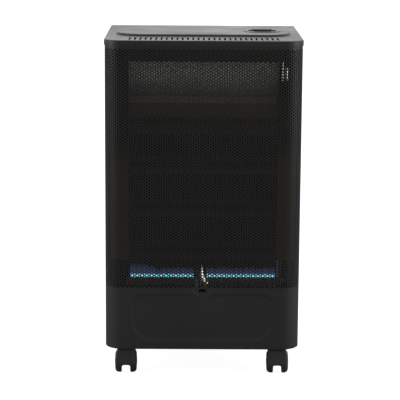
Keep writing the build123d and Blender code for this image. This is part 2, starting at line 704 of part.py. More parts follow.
def hook_slot():
    """Slot for the rear cover's right hook, through the panel's flange and the tray's rim."""
    half = HOOK_WIDTH / 2 + HOOK_PLAY
    return [
        block(
            (HOOK_X - half, HOOK_X + half),
            (TRAY_BACK - 2 * TRAY_SHEET, CABINET_BACK),
            (HOOK_Z - HOOK_PLAY, HOOK_Z + SHEET + HOOK_PLAY),
        )
    ]


def bulkhead():
    """Heat shield between chamber and cylinder bay, with wings back to the seam."""
    tip = HALF_WIDTH - TRAY_INSET - TRAY_SHEET - SLIP
    wing, seam = BULKHEAD_HALF_WIDTH, SEAM - 2 * SHEET
    section = fold(
        [(-tip, seam), (-wing, seam), (-wing, BULKHEAD_Y), (wing, BULKHEAD_Y), (wing, seam), (tip, seam)],
        SHEET,
    )
    sheet = slab(section, TRAY_TOP, LID_UNDER)
    foot_half = wing - SHEET
    sheet += block(
        (-foot_half, foot_half), (BULKHEAD_Y - BULKHEAD_FOOT, BULKHEAD_Y), (TRAY_TOP, TRAY_TOP + SHEET)
    )
    pipes = [
        (MAIN_PIPE_X, MAIN_PIPE_Z, MAIN_PIPE_RADIUS),
        (PILOT_PIPE_X, PILOT_PIPE_Z, PILOT_PIPE_RADIUS),
        (COUPLE_LEAD_X, COUPLE_LEAD_Z, COUPLE_LEAD_RADIUS),
        (PIEZO_X, SPARK_LEAD_Z, SPARK_LEAD_RADIUS),
    ]
    for x, z, radius in pipes:
        side = 2 * (radius + PIPE_HOLE_GAP)
        sheet -= Pos(x, BULKHEAD_Y, z) * Box(side, 4 * SHEET, side)
    return sheet


def grille_bracket(top):
    """Right bracket that ties the grille's return to the bulkhead's wing."""
    wing, skin = BULKHEAD_HALF_WIDTH, HALF_WIDTH - SHEET
    section = fold(
        [
            (wing, GRILLE_BRACKET_Y + GRILLE_BRACKET_FLANGE),
            (wing, GRILLE_BRACKET_Y),
            (skin, GRILLE_BRACKET_Y),
            (skin, GRILLE_BRACKET_Y + GRILLE_BRACKET_FLANGE),
        ],
        SHEET,
    )
    return slab(section, HEIGHT - GRILLE_BRACKET_FOOT_DROP, top)


def grille_brackets():
    """The two brackets, the left one shorter than the right one."""
    left, right = [grille_bracket(HEIGHT - drop) for drop in GRILLE_BRACKET_DROPS]
    return [right, mirror(left, Plane.YZ)]


def top_rail():
    """Front rail under the lid, in front of the chamber's top."""
    inner = CABINET_FRONT + SHEET + SLIP
    flange = LID_UNDER - SHEET
    return across(fold([(inner, flange), (RAIL_Y, flange), (RAIL_Y, RAIL_BOTTOM)], SHEET), RAIL_HALF_WIDTH)


def rear_top_rail():
    """Rear rail between the side panels' flanges, with a flange under the lid."""
    half = HALF_WIDTH - REAR_FLANGE - SLIP
    section = fold(
        [
            (CABINET_BACK, REAR_RAIL_BOTTOM),
            (CABINET_BACK, LID_UNDER),
            (CABINET_BACK - REAR_RAIL_DEPTH, LID_UNDER),
        ],
        SHEET,
    )
    return across(section, half)


def snap_clip():
    """Right spring clip: two leaves that grip the cover's stud."""
    back = TRAY_BACK
    leaf = STUD_RADIUS + CLIP_GAP
    base_half = leaf + SHEET
    clip = block(
        (STUD_X - base_half, STUD_X + base_half),
        (back - CLIP_DEPTH, back),
        (STUD_Z - CLIP_HEIGHT / 2, STUD_Z + CLIP_HEIGHT / 2),
    )
    clip -= block(
        (STUD_X - leaf, STUD_X + leaf),
        (back - CLIP_DEPTH, back - SHEET),
        (STUD_Z - CLIP_HEIGHT / 2, STUD_Z + CLIP_HEIGHT / 2),
    )
    return clip - Pos(STUD_X, back, STUD_Z) * Box(2 * leaf, 4 * SHEET, 2 * leaf)


# ---- Rear cover
def cover_bulge(inset):
    """The bulge of the rear cover in plan."""
    return plan(COVER_HALF_WIDTH - inset, COVER_FRONT, BACK - inset, 0, COVER_RADIUS - inset)


def rear_cover():
    """Lift-off cover: bulge, flange, hooks at the foot, vents and a finger slot."""
    shell = slab(cover_bulge(0), TRAY_Z, COVER_TOP)
    flange_half = COVER_HALF_WIDTH + COVER_FLANGE
    flange_foot = GROUND_GAP + COVER_FLANGE_FOOT
    flange_range = (COVER_FRONT, COVER_FRONT + SHEET)
    shell += block((-flange_half, flange_half), flange_range, (flange_foot, COVER_FLANGE_TOP))
    shell -= slab(cover_bulge(SHEET), TRAY_Z, COVER_TOP - SHEET)
    shell -= Pos(0, BACK, FINGER_SLOT_Z) * Box(FINGER_SLOT[0], 4 * SHEET, FINGER_SLOT[1])
    vents = GridLocations(COVER_VENT_PITCH, 1, COVER_VENT_COUNT, 1) * Box(
        COVER_VENT[0], 4 * SHEET, COVER_VENT[1]
    )
    shell -= [Pos(0, BACK, COVER_VENT_Z) * vent for vent in vents]
    hook = block(
        (HOOK_X - HOOK_WIDTH / 2, HOOK_X + HOOK_WIDTH / 2),
        (COVER_FRONT - HOOK_REACH, COVER_FRONT),
        (HOOK_Z, HOOK_Z + SHEET),
    )
    shell += both_sides(hook)
    side = 2 * (STUD_RADIUS + SLIP)
    return shell - both_sides(Pos(STUD_X, COVER_FRONT, STUD_Z) * Box(side, 4 * SHEET, side))


def cover_stud():
    """Right stud of the rear cover, its head outside the flange."""
    face = COVER_FRONT + SHEET
    stud = hexagon(STUD_RADIUS, (STUD_X, COVER_FRONT - STUD_REACH, STUD_Z), (STUD_X, face, STUD_Z))
    return stud + hexagon(STUD_HEAD_RADIUS, (STUD_X, face, STUD_Z), (STUD_X, face + STUD_HEAD, STUD_Z))


# ---- Chamber
def chamber_cheek():
    """Right side wall of the chamber, flanged to the bulkhead and outwards at the front."""
    wall, front = CHAMBER_HALF_WIDTH, RAIL_Y + SHEET
    section = fold(
        [
            (wall + CHEEK_REAR_FLANGE, BULKHEAD_Y),
            (wall, BULKHEAD_Y),
            (wall, front),
            (CHEEK_FLANGE_TIP, front),
        ],
        SHEET,
    )
    cheek = slab(section, CHEEK_BOTTOM, CHEEK_TOP)
    return cheek - block(
        (wall + SHEET, wall + CHEEK_REAR_FLANGE),
        (BULKHEAD_Y - SHEET, BULKHEAD_Y),
        (CHEEK_WINDOW_BOTTOM, CHEEK_TOP),
    )


def right_chamber_cheek():
    """The right cheek, opened beside the gas pipes."""
    front = RAIL_Y + SHEET
    window = block(
        (CHEEK_WINDOW_EDGE, CHEEK_FLANGE_TIP),
        (front, front + SHEET),
        (CHEEK_WINDOW_BOTTOM, CHEEK_TOP),
    )
    return chamber_cheek() - window


def between_cheeks(section):
    """A folded plate that spans the chamber."""
    return across(section, CHAMBER_HALF_WIDTH - SLIP)


def top_deflector():
    """Bright plate that leans forward and turns the hot air out of the front."""
    section = fold([(BULKHEAD_Y, DEFLECTOR_FOOT), (BULKHEAD_Y, DEFLECTOR_BEND), DEFLECTOR_TOP], SHEET)
    return between_cheeks(section)


def upper_back_plate():
    """Plate on the bulkhead under the deflector, tinted by the heat."""
    bottom = UPPER_BAFFLE_Z + BAFFLE_RISE + BAFFLE_BACK + SLIP
    return between_cheeks(fold([(BULKHEAD_Y, bottom), (BULKHEAD_Y, DEFLECTOR_FOOT - SLIP)], SHEET))


def baffle(lip_bottom, lip):
    """Folded plate: a lip at the front, a slope up to the bulkhead and a flange on it."""
    rear = lip_bottom + BAFFLE_RISE
    return between_cheeks(
        fold(
            [
                (BAFFLE_LIP_Y, lip_bottom + lip),
                (BAFFLE_LIP_Y, lip_bottom),
                (BULKHEAD_Y, rear),
                (BULKHEAD_Y, rear + BAFFLE_BACK),
            ],
            PLATE,
        )
    )


def lower_baffles():
    """The baffles below the upper one, at an even pitch."""
    bottoms = [LOWER_BAFFLE_Z - i * LOWER_BAFFLE_PITCH for i in range(LOWER_BAFFLE_COUNT)]
    return [baffle(bottom, LOWER_BAFFLE_LIP) for bottom in bottoms]


def burner_shelf():
    """Shelf under the burner, with slots for the air that feeds the flames."""
    section = fold(
        [
            (BULKHEAD_Y, SHELF_Z - SHELF_REAR_FLANGE),
            (BULKHEAD_Y, SHELF_Z),
            (SHELF_FRONT, SHELF_Z),
            (SHELF_FRONT, SHELF_Z - SHELF_LIP),
        ],
        SHEET,
    )
    shelf = across(section, SHELF_HALF_WIDTH)
    slots = GridLocations(AIR_SLOT_PITCH, 1, 4, 1) * Box(AIR_SLOT[0], AIR_SLOT[1], 4 * SHEET)
    return shelf - [Pos(0, BURNER_Y, SHELF_Z) * slot for slot in slots]


# ---- Burner, pilot and gas train
def burner_bar():
    """Ribbon burner: a hollow bar with rows of flame slots and an inlet at its right end."""
    outside = Rectangle(BURNER_DEPTH, BURNER_HEIGHT)
    outside = chamfer(outside.vertices(), BURNER_CORNER)
    inside = Rectangle(BURNER_DEPTH - 2 * BURNER_WALL, BURNER_HEIGHT - 2 * BURNER_WALL)
    bar = across(outside, BURNER_HALF_LENGTH) - across(inside, BURNER_INSIDE)
    punch = Box(FLAME_SLOT[0], FLAME_SLOT[1], 4 * BURNER_WALL)
    for i in range(FLAME_COUNT):
        x = FLAME_FIRST + i * FLAME_PITCH
        bar -= [Pos(side * x, 0, BURNER_HEIGHT / 2) * punch for side in (-1, 1)]
    end = BURNER_HALF_LENGTH
    bar -= hexagon(BURNER_INLET_RADIUS, (BURNER_INSIDE, 0, 0), (end, 0, 0))
    return Pos(0, BURNER_Y, BURNER_Z) * bar


def burner_bracket():
    """Right bracket that holds the burner above its shelf."""
    half = BRACKET_WIDTH / 2
    section = fold(
        [
            (BRACKET_X - half, SHELF_Z + SHEET),
            (BRACKET_X, SHELF_Z + SHEET),
            (BRACKET_X, BURNER_UNDER),
            (BRACKET_X + half, BURNER_UNDER),
        ],
        -SHEET,
    )
    return Pos(0, BURNER_Y, 0) * extrude(Plane.XZ * section, amount=BRACKET_DEPTH / 2, both=True)


def gas_injector():
    """Brass injector at the end of the main pipe, its tip inside the burner's inlet."""
    start = INJECTOR_END - INJECTOR_LENGTH
    shoulder = start + INJECTOR_TIP
    tip = hexagon(INJECTOR_TIP_RADIUS, (start, BURNER_Y, BURNER_Z), (shoulder, BURNER_Y, BURNER_Z))
    body = hexagon(INJECTOR_RADIUS, (shoulder, BURNER_Y, BURNER_Z), (INJECTOR_END, BURNER_Y, BURNER_Z))
    return tip + body


def pilot_bracket():
    """Folded bracket in front of the burner that carries the pilot, thermocouple and electrode."""
    wall = PILOT_Y + PILOT_WALL
    section = fold(
        [
            (wall + PILOT_FOOT, SHELF_Z),
            (wall, SHELF_Z),
            (wall, PILOT_TAB_Z + SHEET),
            (PILOT_Y - PILOT_TAB_REACH, PILOT_TAB_Z + SHEET),
        ],
        -SHEET,
    )
    bracket = across(section, PILOT_TAB_HALF_WIDTH)
    for x, radius in (
        (PILOT_X, PILOT_RADIUS),
        (THERMOCOUPLE_X, THERMOCOUPLE_RADIUS),
        (ELECTRODE_X, ELECTRODE_RADIUS),
    ):
        side = 2 * (radius + SLIP)
        bracket -= Pos(x, PILOT_Y, PILOT_TAB_Z) * Box(side, side, 4 * SHEET)
    return bracket


def pilot_burner():
    """Pilot: a brass body with a narrower hooded jet above its bracket."""
    jet_z = PILOT_TAB_Z + PILOT_JET
    foot = (PILOT_X, PILOT_Y, PILOT_PIPE_LOW_Z - PILOT_RADIUS)
    body = hexagon(PILOT_RADIUS, foot, (PILOT_X, PILOT_Y, jet_z))
    jet_top = jet_z + PILOT_JET
    return body + hexagon(PILOT_JET_RADIUS, (PILOT_X, PILOT_Y, jet_z), (PILOT_X, PILOT_Y, jet_top))


def thermocouple():
    """Flame-failure thermocouple: a rod beside the pilot flame."""
    foot = (THERMOCOUPLE_X, PILOT_Y, COUPLE_LEAD_LOW_Z - THERMOCOUPLE_RADIUS)
    return hexagon(THERMOCOUPLE_RADIUS, foot, (THERMOCOUPLE_X, PILOT_Y, THERMOCOUPLE_TOP))


def spark_electrode():
    """Spark electrode: a wire in a ceramic sleeve."""
    foot = (ELECTRODE_X, PILOT_Y, SPARK_LEAD_LOW_Z - ELECTRODE_RADIUS)
    shoulder = (ELECTRODE_X, PILOT_Y, ELECTRODE_TOP - ELECTRODE_TIP)
    wire = hexagon(ELECTRODE_WIRE, shoulder, (ELECTRODE_X, PILOT_Y, ELECTRODE_TOP))
    return hexagon(ELECTRODE_RADIUS, foot, shoulder) + wire


def gas_valve():
    """Gas valve under the knob: cast body and bonnet, bored for the sleeve."""
    width, depth, height = VALVE_SIZE
    body = slab(Rectangle(width, depth), VALVE_BOTTOM, VALVE_TOP)
    body += slab(RegularPolygon(BONNET_RADIUS, BONNET_SIDES), VALVE_TOP, BONNET_TOP)
    floor = SPINDLE_BOTTOM - KNOB_TRAVEL - VALVE_FLOOR_GAP
    body -= rod(SLEEVE_RADIUS + RUNNING_FIT, (0, 0, floor), (0, 0, BONNET_TOP))
    return Pos(KNOB_X, KNOB_Y) * body


def valve_bracket():
    """Bracket from the bulkhead that the valve and the igniter hang from."""
    back = BULKHEAD_Y + SHEET
    rear = KNOB_Y + VALVE_PLATE_REACH
    top = VALVE_TOP + SHEET
    section = fold([(rear, top), (back, top), (back, top - VALVE_PLATE_FLANGE)], SHEET)
    half = (VALVE_PLATE_RIGHT - VALVE_PLATE_LEFT) / 2
    bracket = Pos((VALVE_PLATE_RIGHT + VALVE_PLATE_LEFT) / 2, 0, 0) * across(section, half)
    side = 2 * (BONNET_RADIUS + SLIP)
    return bracket - Pos(KNOB_X, KNOB_Y, VALVE_TOP) * Box(side, side, 4 * SHEET)


def hose_nozzle():
    """Nozzle at the back of the valve that a gas hose is pushed onto."""
    base = (KNOB_X, VALVE_BACK, NOZZLE_Z)
    shoulder = (KNOB_X, VALVE_BACK + NOZZLE_HEX, NOZZLE_Z)
    end = (KNOB_X, VALVE_BACK + NOZZLE_HEX + NOZZLE_LENGTH, NOZZLE_Z)
    nozzle = hexagon(NOZZLE_HEX_RADIUS, base, shoulder) + rod(NOZZLE_RADIUS, shoulder, end)
    return nozzle - hexagon(NOZZLE_BORE, base, end)


def main_gas_pipe():
    """Pipe from the valve through the bulkhead and down to the injector."""
    return bent_rod(
        MAIN_PIPE_RADIUS,
        [
            (VALVE_RIGHT, KNOB_Y, MAIN_PIPE_Z),
            (MAIN_PIPE_X, KNOB_Y, MAIN_PIPE_Z),
            (MAIN_PIPE_X, BURNER_Y, MAIN_PIPE_Z),
            (MAIN_PIPE_X, BURNER_Y, CHEEK_WINDOW_BOTTOM - MAIN_PIPE_JOG),
            (MAIN_PIPE_LOW_X, BURNER_Y, CHEEK_BOTTOM + MAIN_PIPE_JOG),
            (MAIN_PIPE_LOW_X, BURNER_Y, BURNER_Z),
            (INJECTOR_END, BURNER_Y, BURNER_Z),
        ],
        MAIN_PIPE_BEND,
        PIPE_SIDES,
    )


def pilot_gas_pipe():
    """Thin pipe from the valve to the pilot."""
    return bent_rod(
        PILOT_PIPE_RADIUS,
        [
            (VALVE_RIGHT, PILOT_PIPE_Y, PILOT_PIPE_Z),
            (PILOT_PIPE_X, PILOT_PIPE_Y, PILOT_PIPE_Z),
            (PILOT_PIPE_X, PILOT_Y, PILOT_PIPE_Z),
            (PILOT_PIPE_X, PILOT_Y, PILOT_PIPE_LOW_Z),
            (PILOT_X + PILOT_RADIUS, PILOT_Y, PILOT_PIPE_LOW_Z),
        ],
        PILOT_PIPE_BEND,
        LEAD_SIDES,
    )


def thermocouple_lead():
    """Lead from the valve to the thermocouple."""
    left = -PILOT_TAB_HALF_WIDTH - COUPLE_LEAD_LOOP
    return bent_rod(
        COUPLE_LEAD_RADIUS,
        [
            (VALVE_RIGHT, KNOB_Y + COUPLE_LEAD_SHIFT, COUPLE_LEAD_Z),
            (COUPLE_LEAD_X, KNOB_Y + COUPLE_LEAD_SHIFT, COUPLE_LEAD_Z),
            (COUPLE_LEAD_X, COUPLE_LEAD_Y, COUPLE_LEAD_Z),
            (COUPLE_LEAD_X, COUPLE_LEAD_Y, COUPLE_LEAD_LOW_Z),
            (left, COUPLE_LEAD_Y, COUPLE_LEAD_LOW_Z),
            (left, PILOT_Y, COUPLE_LEAD_LOW_Z),
            (THERMOCOUPLE_X - THERMOCOUPLE_RADIUS, PILOT_Y, COUPLE_LEAD_LOW_Z),
        ],
        LEAD_BEND,
        LEAD_SIDES,
    )


def ignition_lead():
    """Lead from the igniter to the electrode."""
    left = -PILOT_TAB_HALF_WIDTH - SPARK_LEAD_LOOP
    return bent_rod(
        SPARK_LEAD_RADIUS,
        [
            (PIEZO_X, PIEZO_Y, VALVE_TOP - PIEZO_LENGTH),
            (PIEZO_X, PIEZO_Y, SPARK_LEAD_Z),
            (PIEZO_X, SPARK_LEAD_Y, SPARK_LEAD_Z),
            (PIEZO_X, SPARK_LEAD_Y, SPARK_LEAD_LOW_Z),
            (left, SPARK_LEAD_Y, SPARK_LEAD_LOW_Z),
            (left, PILOT_Y, SPARK_LEAD_LOW_Z),
            (ELECTRODE_X - ELECTRODE_RADIUS, PILOT_Y, SPARK_LEAD_LOW_Z),
        ],
        LEAD_BEND,
        LEAD_SIDES,
    )


def piezo_igniter():
    """Piezo igniter beside the valve, worked by the knob."""
    foot = (PIEZO_X, PIEZO_Y, VALVE_TOP - PIEZO_LENGTH)
    return hexagon(PIEZO_RADIUS, foot, (PIEZO_X, PIEZO_Y, VALVE_TOP))


def pipe_nuts():
    """Union nuts where the two gas pipes leave the valve."""
    nuts = []
    for y, z, radius, nut in (
        (KNOB_Y, MAIN_PIPE_Z, MAIN_PIPE_RADIUS, NUT_RADIUS),
        (PILOT_PIPE_Y, PILOT_PIPE_Z, PILOT_PIPE_RADIUS, PILOT_NUT_RADIUS),
    ):
        start, end = (VALVE_RIGHT, y, z), (VALVE_RIGHT + NUT_LENGTH, y, z)
        nuts.append(hexagon(nut, start, end) - hexagon(radius + NUT_BORE_GAP, start, end))
    return nuts


# ---- Castors
def castor_mounts():
    """Top plate of each castor, with the pin that its hood turns on."""
    side, thickness = CASTOR_PLATE
    mounts = []
    for x, y in CASTORS.values():
        plate = slab(Rectangle(side, side), TRAY_Z - thickness, TRAY_Z)
        plate += slab(RegularPolygon(PIN_RADIUS, BEARING_SIDES), PIN_BOTTOM, TRAY_Z - thickness)
        mounts.append(Pos(x, y) * plate)
    return mounts


def castor_hood():
    """Hood of one castor, its swivel axis on Z: a closed front and roof, and a web with the axle."""
    round_part = Pos(TRAIL, WHEEL_RADIUS) * RegularPolygon(HOOD_RADIUS, HOOD_SIDES)
    nose_middle = (HOOD_TOP + HOOD_FRONT_EDGE) / 2
    nose = Pos(0, nose_middle) * Rectangle(2 * NOSE_RADIUS, HOOD_TOP - HOOD_FRONT_EDGE)
    outline = round_part + nose
    rear = TRAIL + HOOD_RADIUS
    far = 2 * HOOD_RADIUS
    below = Polygon(
        (-NOSE_RADIUS, HOOD_FRONT_EDGE),
        (rear, HOOD_REAR_EDGE),
        (rear, -far),
        (-NOSE_RADIUS, -far),
        align=None,
    )
    well = Pos(TRAIL, WHEEL_RADIUS) * RegularPolygon(WHEEL_WELL, WELL_SIDES, major_radius=False)
    boss = Pos(TRAIL, WHEEL_RADIUS) * RegularPolygon(AXLE_BOSS, BEARING_SIDES)
    stay = Polygon(
        (-NOSE_RADIUS, HOOD_FRONT_EDGE),
        (TRAIL, WHEEL_RADIUS - AXLE_BOSS),
        (rear - STAY_GAP, HOOD_REAR_EDGE),
        (TRAIL, HOOD_REAR_EDGE),
        align=None,
    )
    hood = across(outline - below - well, HOOD_HALF_WIDTH)
    nose_edges = hood.edges().filter_by(Axis.Z).group_by(Axis.Y)[0]
    hood = chamfer(nose_edges, NOSE_CORNER)
    hood += across(outline - below + boss + stay, WEB_HALF_WIDTH)
    reach = WHEEL_INNER + WHEEL_WIDTH - AXLE_SHORT
    hood += across(Pos(TRAIL, WHEEL_RADIUS) * RegularPolygon(AXLE_RADIUS, BEARING_SIDES), reach)
    bore = RegularPolygon(PIN_RADIUS + RUNNING_FIT, BEARING_SIDES, major_radius=False)
    return hood - slab(bore, PIN_BOTTOM - SHEET, HOOD_TOP)


def castor_wheel():
    """Right wheel of one castor: a flat inner face, a flat tread and a raised outer face."""
    outline = RegularPolygon(WHEEL_RADIUS, WHEEL_SIDES)
    wheel = extrude(outline, amount=WHEEL_TREAD)
    wheel += Pos(0, 0, WHEEL_TREAD) * extrude(outline, amount=WHEEL_WIDTH - WHEEL_TREAD, taper=WHEEL_DOME)
    bore = RegularPolygon(AXLE_RADIUS + RUNNING_FIT, BEARING_SIDES, major_radius=False)
    wheel -= extrude(bore, amount=WHEEL_WIDTH)
    return Pos(WHEEL_INNER, TRAIL, WHEEL_RADIUS) * Rot(0, 90, 0) * wheel


# ---- Writing the pieces
def pieces():
    """Every piece by its name: one solid, or a list of alike ones."""
    side, cheek = side_panel(), chamber_cheek()
    parts = {
        "lid": lid(),
        "control_bezel": control_bezel(),
        "control_knob": control_knob(),
        "valve_spindle": valve_spindle(),
        "plunger_sleeve": plunger_sleeve(),
        "front_grille": front_grille(),
        "right_side_panel": side,
        "left_side_panel": mirror(side, Plane.YZ),
        "handle_cups": both_sides(handle_cup()),
        "base_tray": base_tray(),
        "bulkhead": bulkhead(),
        "grille_brackets": grille_brackets(),
        "top_rail": top_rail(),
        "rear_top_rail": rear_top_rail(),
        "snap_clips": both_sides(snap_clip()),
        "rear_cover": rear_cover(),
        "cover_studs": both_sides(cover_stud()),
        "right_chamber_cheek": right_chamber_cheek(),
        "left_chamber_cheek": mirror(cheek, Plane.YZ),
        "top_deflector": top_deflector(),
        "upper_back_plate": upper_back_plate(),
        "upper_baffle": baffle(UPPER_BAFFLE_Z, UPPER_BAFFLE_LIP),
        "lower_baffles": lower_baffles(),
        "burner_shelf": burner_shelf(),
        "burner_bar": burner_bar(),
        "burner_brackets": both_sides(burner_bracket()),
        "gas_injector": gas_injector(),
        "pilot_bracket": pilot_bracket(),
        "pilot_burner": pilot_burner(),
        "thermocouple": thermocouple(),
        "spark_electrode": spark_electrode(),
        "gas_valve": gas_valve(),
        "valve_bracket": valve_bracket(),
        "hose_nozzle": hose_nozzle(),
        "main_gas_pipe": main_gas_pipe(),
        "pilot_gas_pipe": pilot_gas_pipe(),
        "thermocouple_lead": thermocouple_lead(),
        "ignition_lead": ignition_lead(),
        "piezo_igniter": piezo_igniter(),
        "pipe_nuts": pipe_nuts(),
        "castor_mounts": castor_mounts(),
    }
    hood, wheel = castor_hood(), castor_wheel()
    for name, (x, y) in CASTORS.items():
        parts[f"castor_hood_{name}"] = Pos(x, y) * hood
        parts[f"castor_wheel_{name}_right"] = Pos(x, y) * wheel
        parts[f"castor_wheel_{name}_left"] = Pos(x, y) * mirror(wheel, Plane.YZ)
    return parts


def write(name, piece):
    """Writes one node: a single solid, or a group of separate ones."""
    solids = [s for one in (piece if isinstance(piece, list) else [piece]) for s in one.solids()]
    export_step(solids[0] if len(solids) == 1 else Compound(children=solids), f"parts/{name}.step")


os.makedirs("parts", exist_ok=True)
for piece_name, piece in pieces().items():
    write(piece_name, piece)
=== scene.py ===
"""Looks of a portable gas cabinet heater.

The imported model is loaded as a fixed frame. Each sub-assembly is a class that keeps its sizes in millimetres,
works its surfaces out as whole arrays and dresses them with procedural finishes. X is to the right seen from
the front, Y to the rear and Z up; the origin is on the floor under the middle of the heater.
"""

from __future__ import annotations

import json
import logging
import math
from collections.abc import Callable
from dataclasses import dataclass, field
from enum import Enum

import bmesh
import bpy
import numpy as np
from mathutils import Matrix, Vector

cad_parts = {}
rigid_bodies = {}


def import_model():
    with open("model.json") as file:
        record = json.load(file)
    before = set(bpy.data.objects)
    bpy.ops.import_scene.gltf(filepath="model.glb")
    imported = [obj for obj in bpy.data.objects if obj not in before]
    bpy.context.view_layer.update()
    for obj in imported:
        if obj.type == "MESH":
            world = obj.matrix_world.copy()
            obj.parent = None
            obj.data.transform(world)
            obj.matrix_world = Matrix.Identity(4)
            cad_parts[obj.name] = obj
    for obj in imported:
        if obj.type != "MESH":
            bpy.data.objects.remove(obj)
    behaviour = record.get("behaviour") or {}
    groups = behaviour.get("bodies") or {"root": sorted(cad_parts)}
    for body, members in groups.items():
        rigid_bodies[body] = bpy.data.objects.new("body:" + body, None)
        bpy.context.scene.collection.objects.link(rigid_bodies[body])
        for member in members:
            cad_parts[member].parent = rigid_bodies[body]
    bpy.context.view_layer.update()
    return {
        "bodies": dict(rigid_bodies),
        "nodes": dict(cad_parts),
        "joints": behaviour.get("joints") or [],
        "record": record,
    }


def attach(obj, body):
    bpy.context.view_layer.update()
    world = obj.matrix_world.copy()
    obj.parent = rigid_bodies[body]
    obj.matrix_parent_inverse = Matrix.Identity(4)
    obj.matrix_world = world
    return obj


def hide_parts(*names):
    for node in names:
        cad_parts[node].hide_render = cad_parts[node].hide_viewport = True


MM = 0.001
TAU = 2 * math.pi
CLOSE = 1e-6  # millimetres within which two places count as one
WELD = 2e-6  # metres within which two points of a mesh become one
UNCUT = 1e6  # step that leaves a straight run whole
MIRROR = (-1.0, 1.0, 1.0)
CASTORS = {"front_left": (-165.0, -168.0), "front_right": (165.0, -168.0), "rear_left": (-165.0, 118.0),
           "rear_right": (165.0, 118.0)}
LOG = logging.getLogger("heater")

Array = np.ndarray
Rgb = tuple[float, float, float]
Point = tuple[float, float, float]
Pair = tuple[float, float]
Box = tuple[float, float, float, float]
Material = bpy.types.Material
Socket = bpy.types.NodeSocket
Tree = bpy.types.NodeTree


# ---- Surfaces as arrays
@dataclass
class Shell:
    """Points and faces gathered for one mesh, in millimetres."""

    points: list[Array] = field(default_factory=list)
    faces: list[Array] = field(default_factory=list)
    count: int = 0

    def add(self, points: Array, *faces: Array) -> "Shell":
        """Adds one closed skin.

        Args:
            points: Points, one row each.
            faces: Arrays of point numbers, one row for each face.

        Returns:
            The shell itself.
        """
        points = np.asarray(points, float).reshape(-1, 3)
        kept = [f for f in faces if len(f)]
        if signed_volume(points, kept) < 0:
            kept = [f[:, ::-1] for f in kept]
        self.points.append(points)
        self.faces.extend(f + self.count for f in kept)
        self.count += len(points)
        return self

    def join(self, other: "Shell", move: Array | None = None, flip: Point | None = None) -> "Shell":
        """Adds another shell, moved by a vector and scaled by a vector of signs.

        Args:
            other: The shell to add.
            move: Vector that it is moved by.
            flip: Signs on the three axes; an odd number of minus signs turns its faces round.

        Returns:
            The shell itself.
        """
        signs = np.ones(3) if flip is None else np.asarray(flip, float)
        shift = np.zeros(3) if move is None else np.asarray(move, float)
        points = np.concatenate(other.points) * signs + shift
        faces = other.faces if np.prod(signs) > 0 else [f[:, ::-1] for f in other.faces]
        self.points.append(points)
        self.faces.extend(f + self.count for f in faces)
        self.count += len(points)
        return self

    def mirrored(self) -> "Shell":
        """The shell together with its mirror image in X."""
        return Shell().join(self).join(self, flip=MIRROR)

    def mesh(self, name: str, crease: float = 35.0, merge: bool = True) -> bpy.types.Mesh:
        """Writes the shell into a mesh in metres.

        Args:
            name: Name of the mesh.
            crease: Angle in degrees above which an edge stays sharp.
            merge: Whether points at one place become one.

        Returns:
            The finished mesh.
        """
        points = np.concatenate(self.points) * MM
        used, renumbered = np.unique(np.concatenate([f.ravel() for f in self.faces]), return_inverse=True)
        sizes = np.concatenate([np.full(len(f), f.shape[1]) for f in self.faces])
        mesh = bpy.data.meshes.new(name)
        mesh.vertices.add(len(used))
        mesh.vertices.foreach_set("co", points[used].astype(np.float32).ravel())
        mesh.loops.add(len(renumbered))
        mesh.loops.foreach_set("vertex_index", renumbered.astype(np.int32).ravel())
        mesh.polygons.add(len(sizes))
        starts = np.concatenate([[0], np.cumsum(sizes)[:-1]])
        mesh.polygons.foreach_set("loop_start", starts.astype(np.int32))
        mesh.update(calc_edges=True)
        if merge:
            board = bmesh.new()
            board.from_mesh(mesh)
            bmesh.ops.remove_doubles(board, verts=board.verts, dist=WELD)
            bmesh.ops.dissolve_degenerate(board, edges=board.edges, dist=WELD / 2)
            board.to_mesh(mesh)
            board.free()
        mesh.polygons.foreach_set("use_smooth", np.ones(len(mesh.polygons), bool))
        mesh.set_sharp_from_angle(angle=math.radians(crease))
        mesh.validate()
        return mesh


def signed_volume(points: Array, faces: list[Array]) -> float:
    """Volume of a closed skin: a sixth of the sum of the corner products of its triangles.

    Args:
        points: Points, one row each.
        faces: Arrays of point numbers.

    Returns:
        The volume, negative when the faces point inwards.
    """
    total = 0.0
    for face in faces:
        for step in range(1, face.shape[1] - 1):
            a, b, c = points[face[:, 0]], points[face[:, step]], points[face[:, step + 1]]
            total += float(np.einsum("ij,ij->i", a, np.cross(b, c)).sum())
    return total / 6


def walls(start: Array, end: Array, far: int) -> Array:
    """Faces between edges of one side of a sheet and the same edges of its other side."""
    return np.stack([end, start, start + far, end + far], 1)


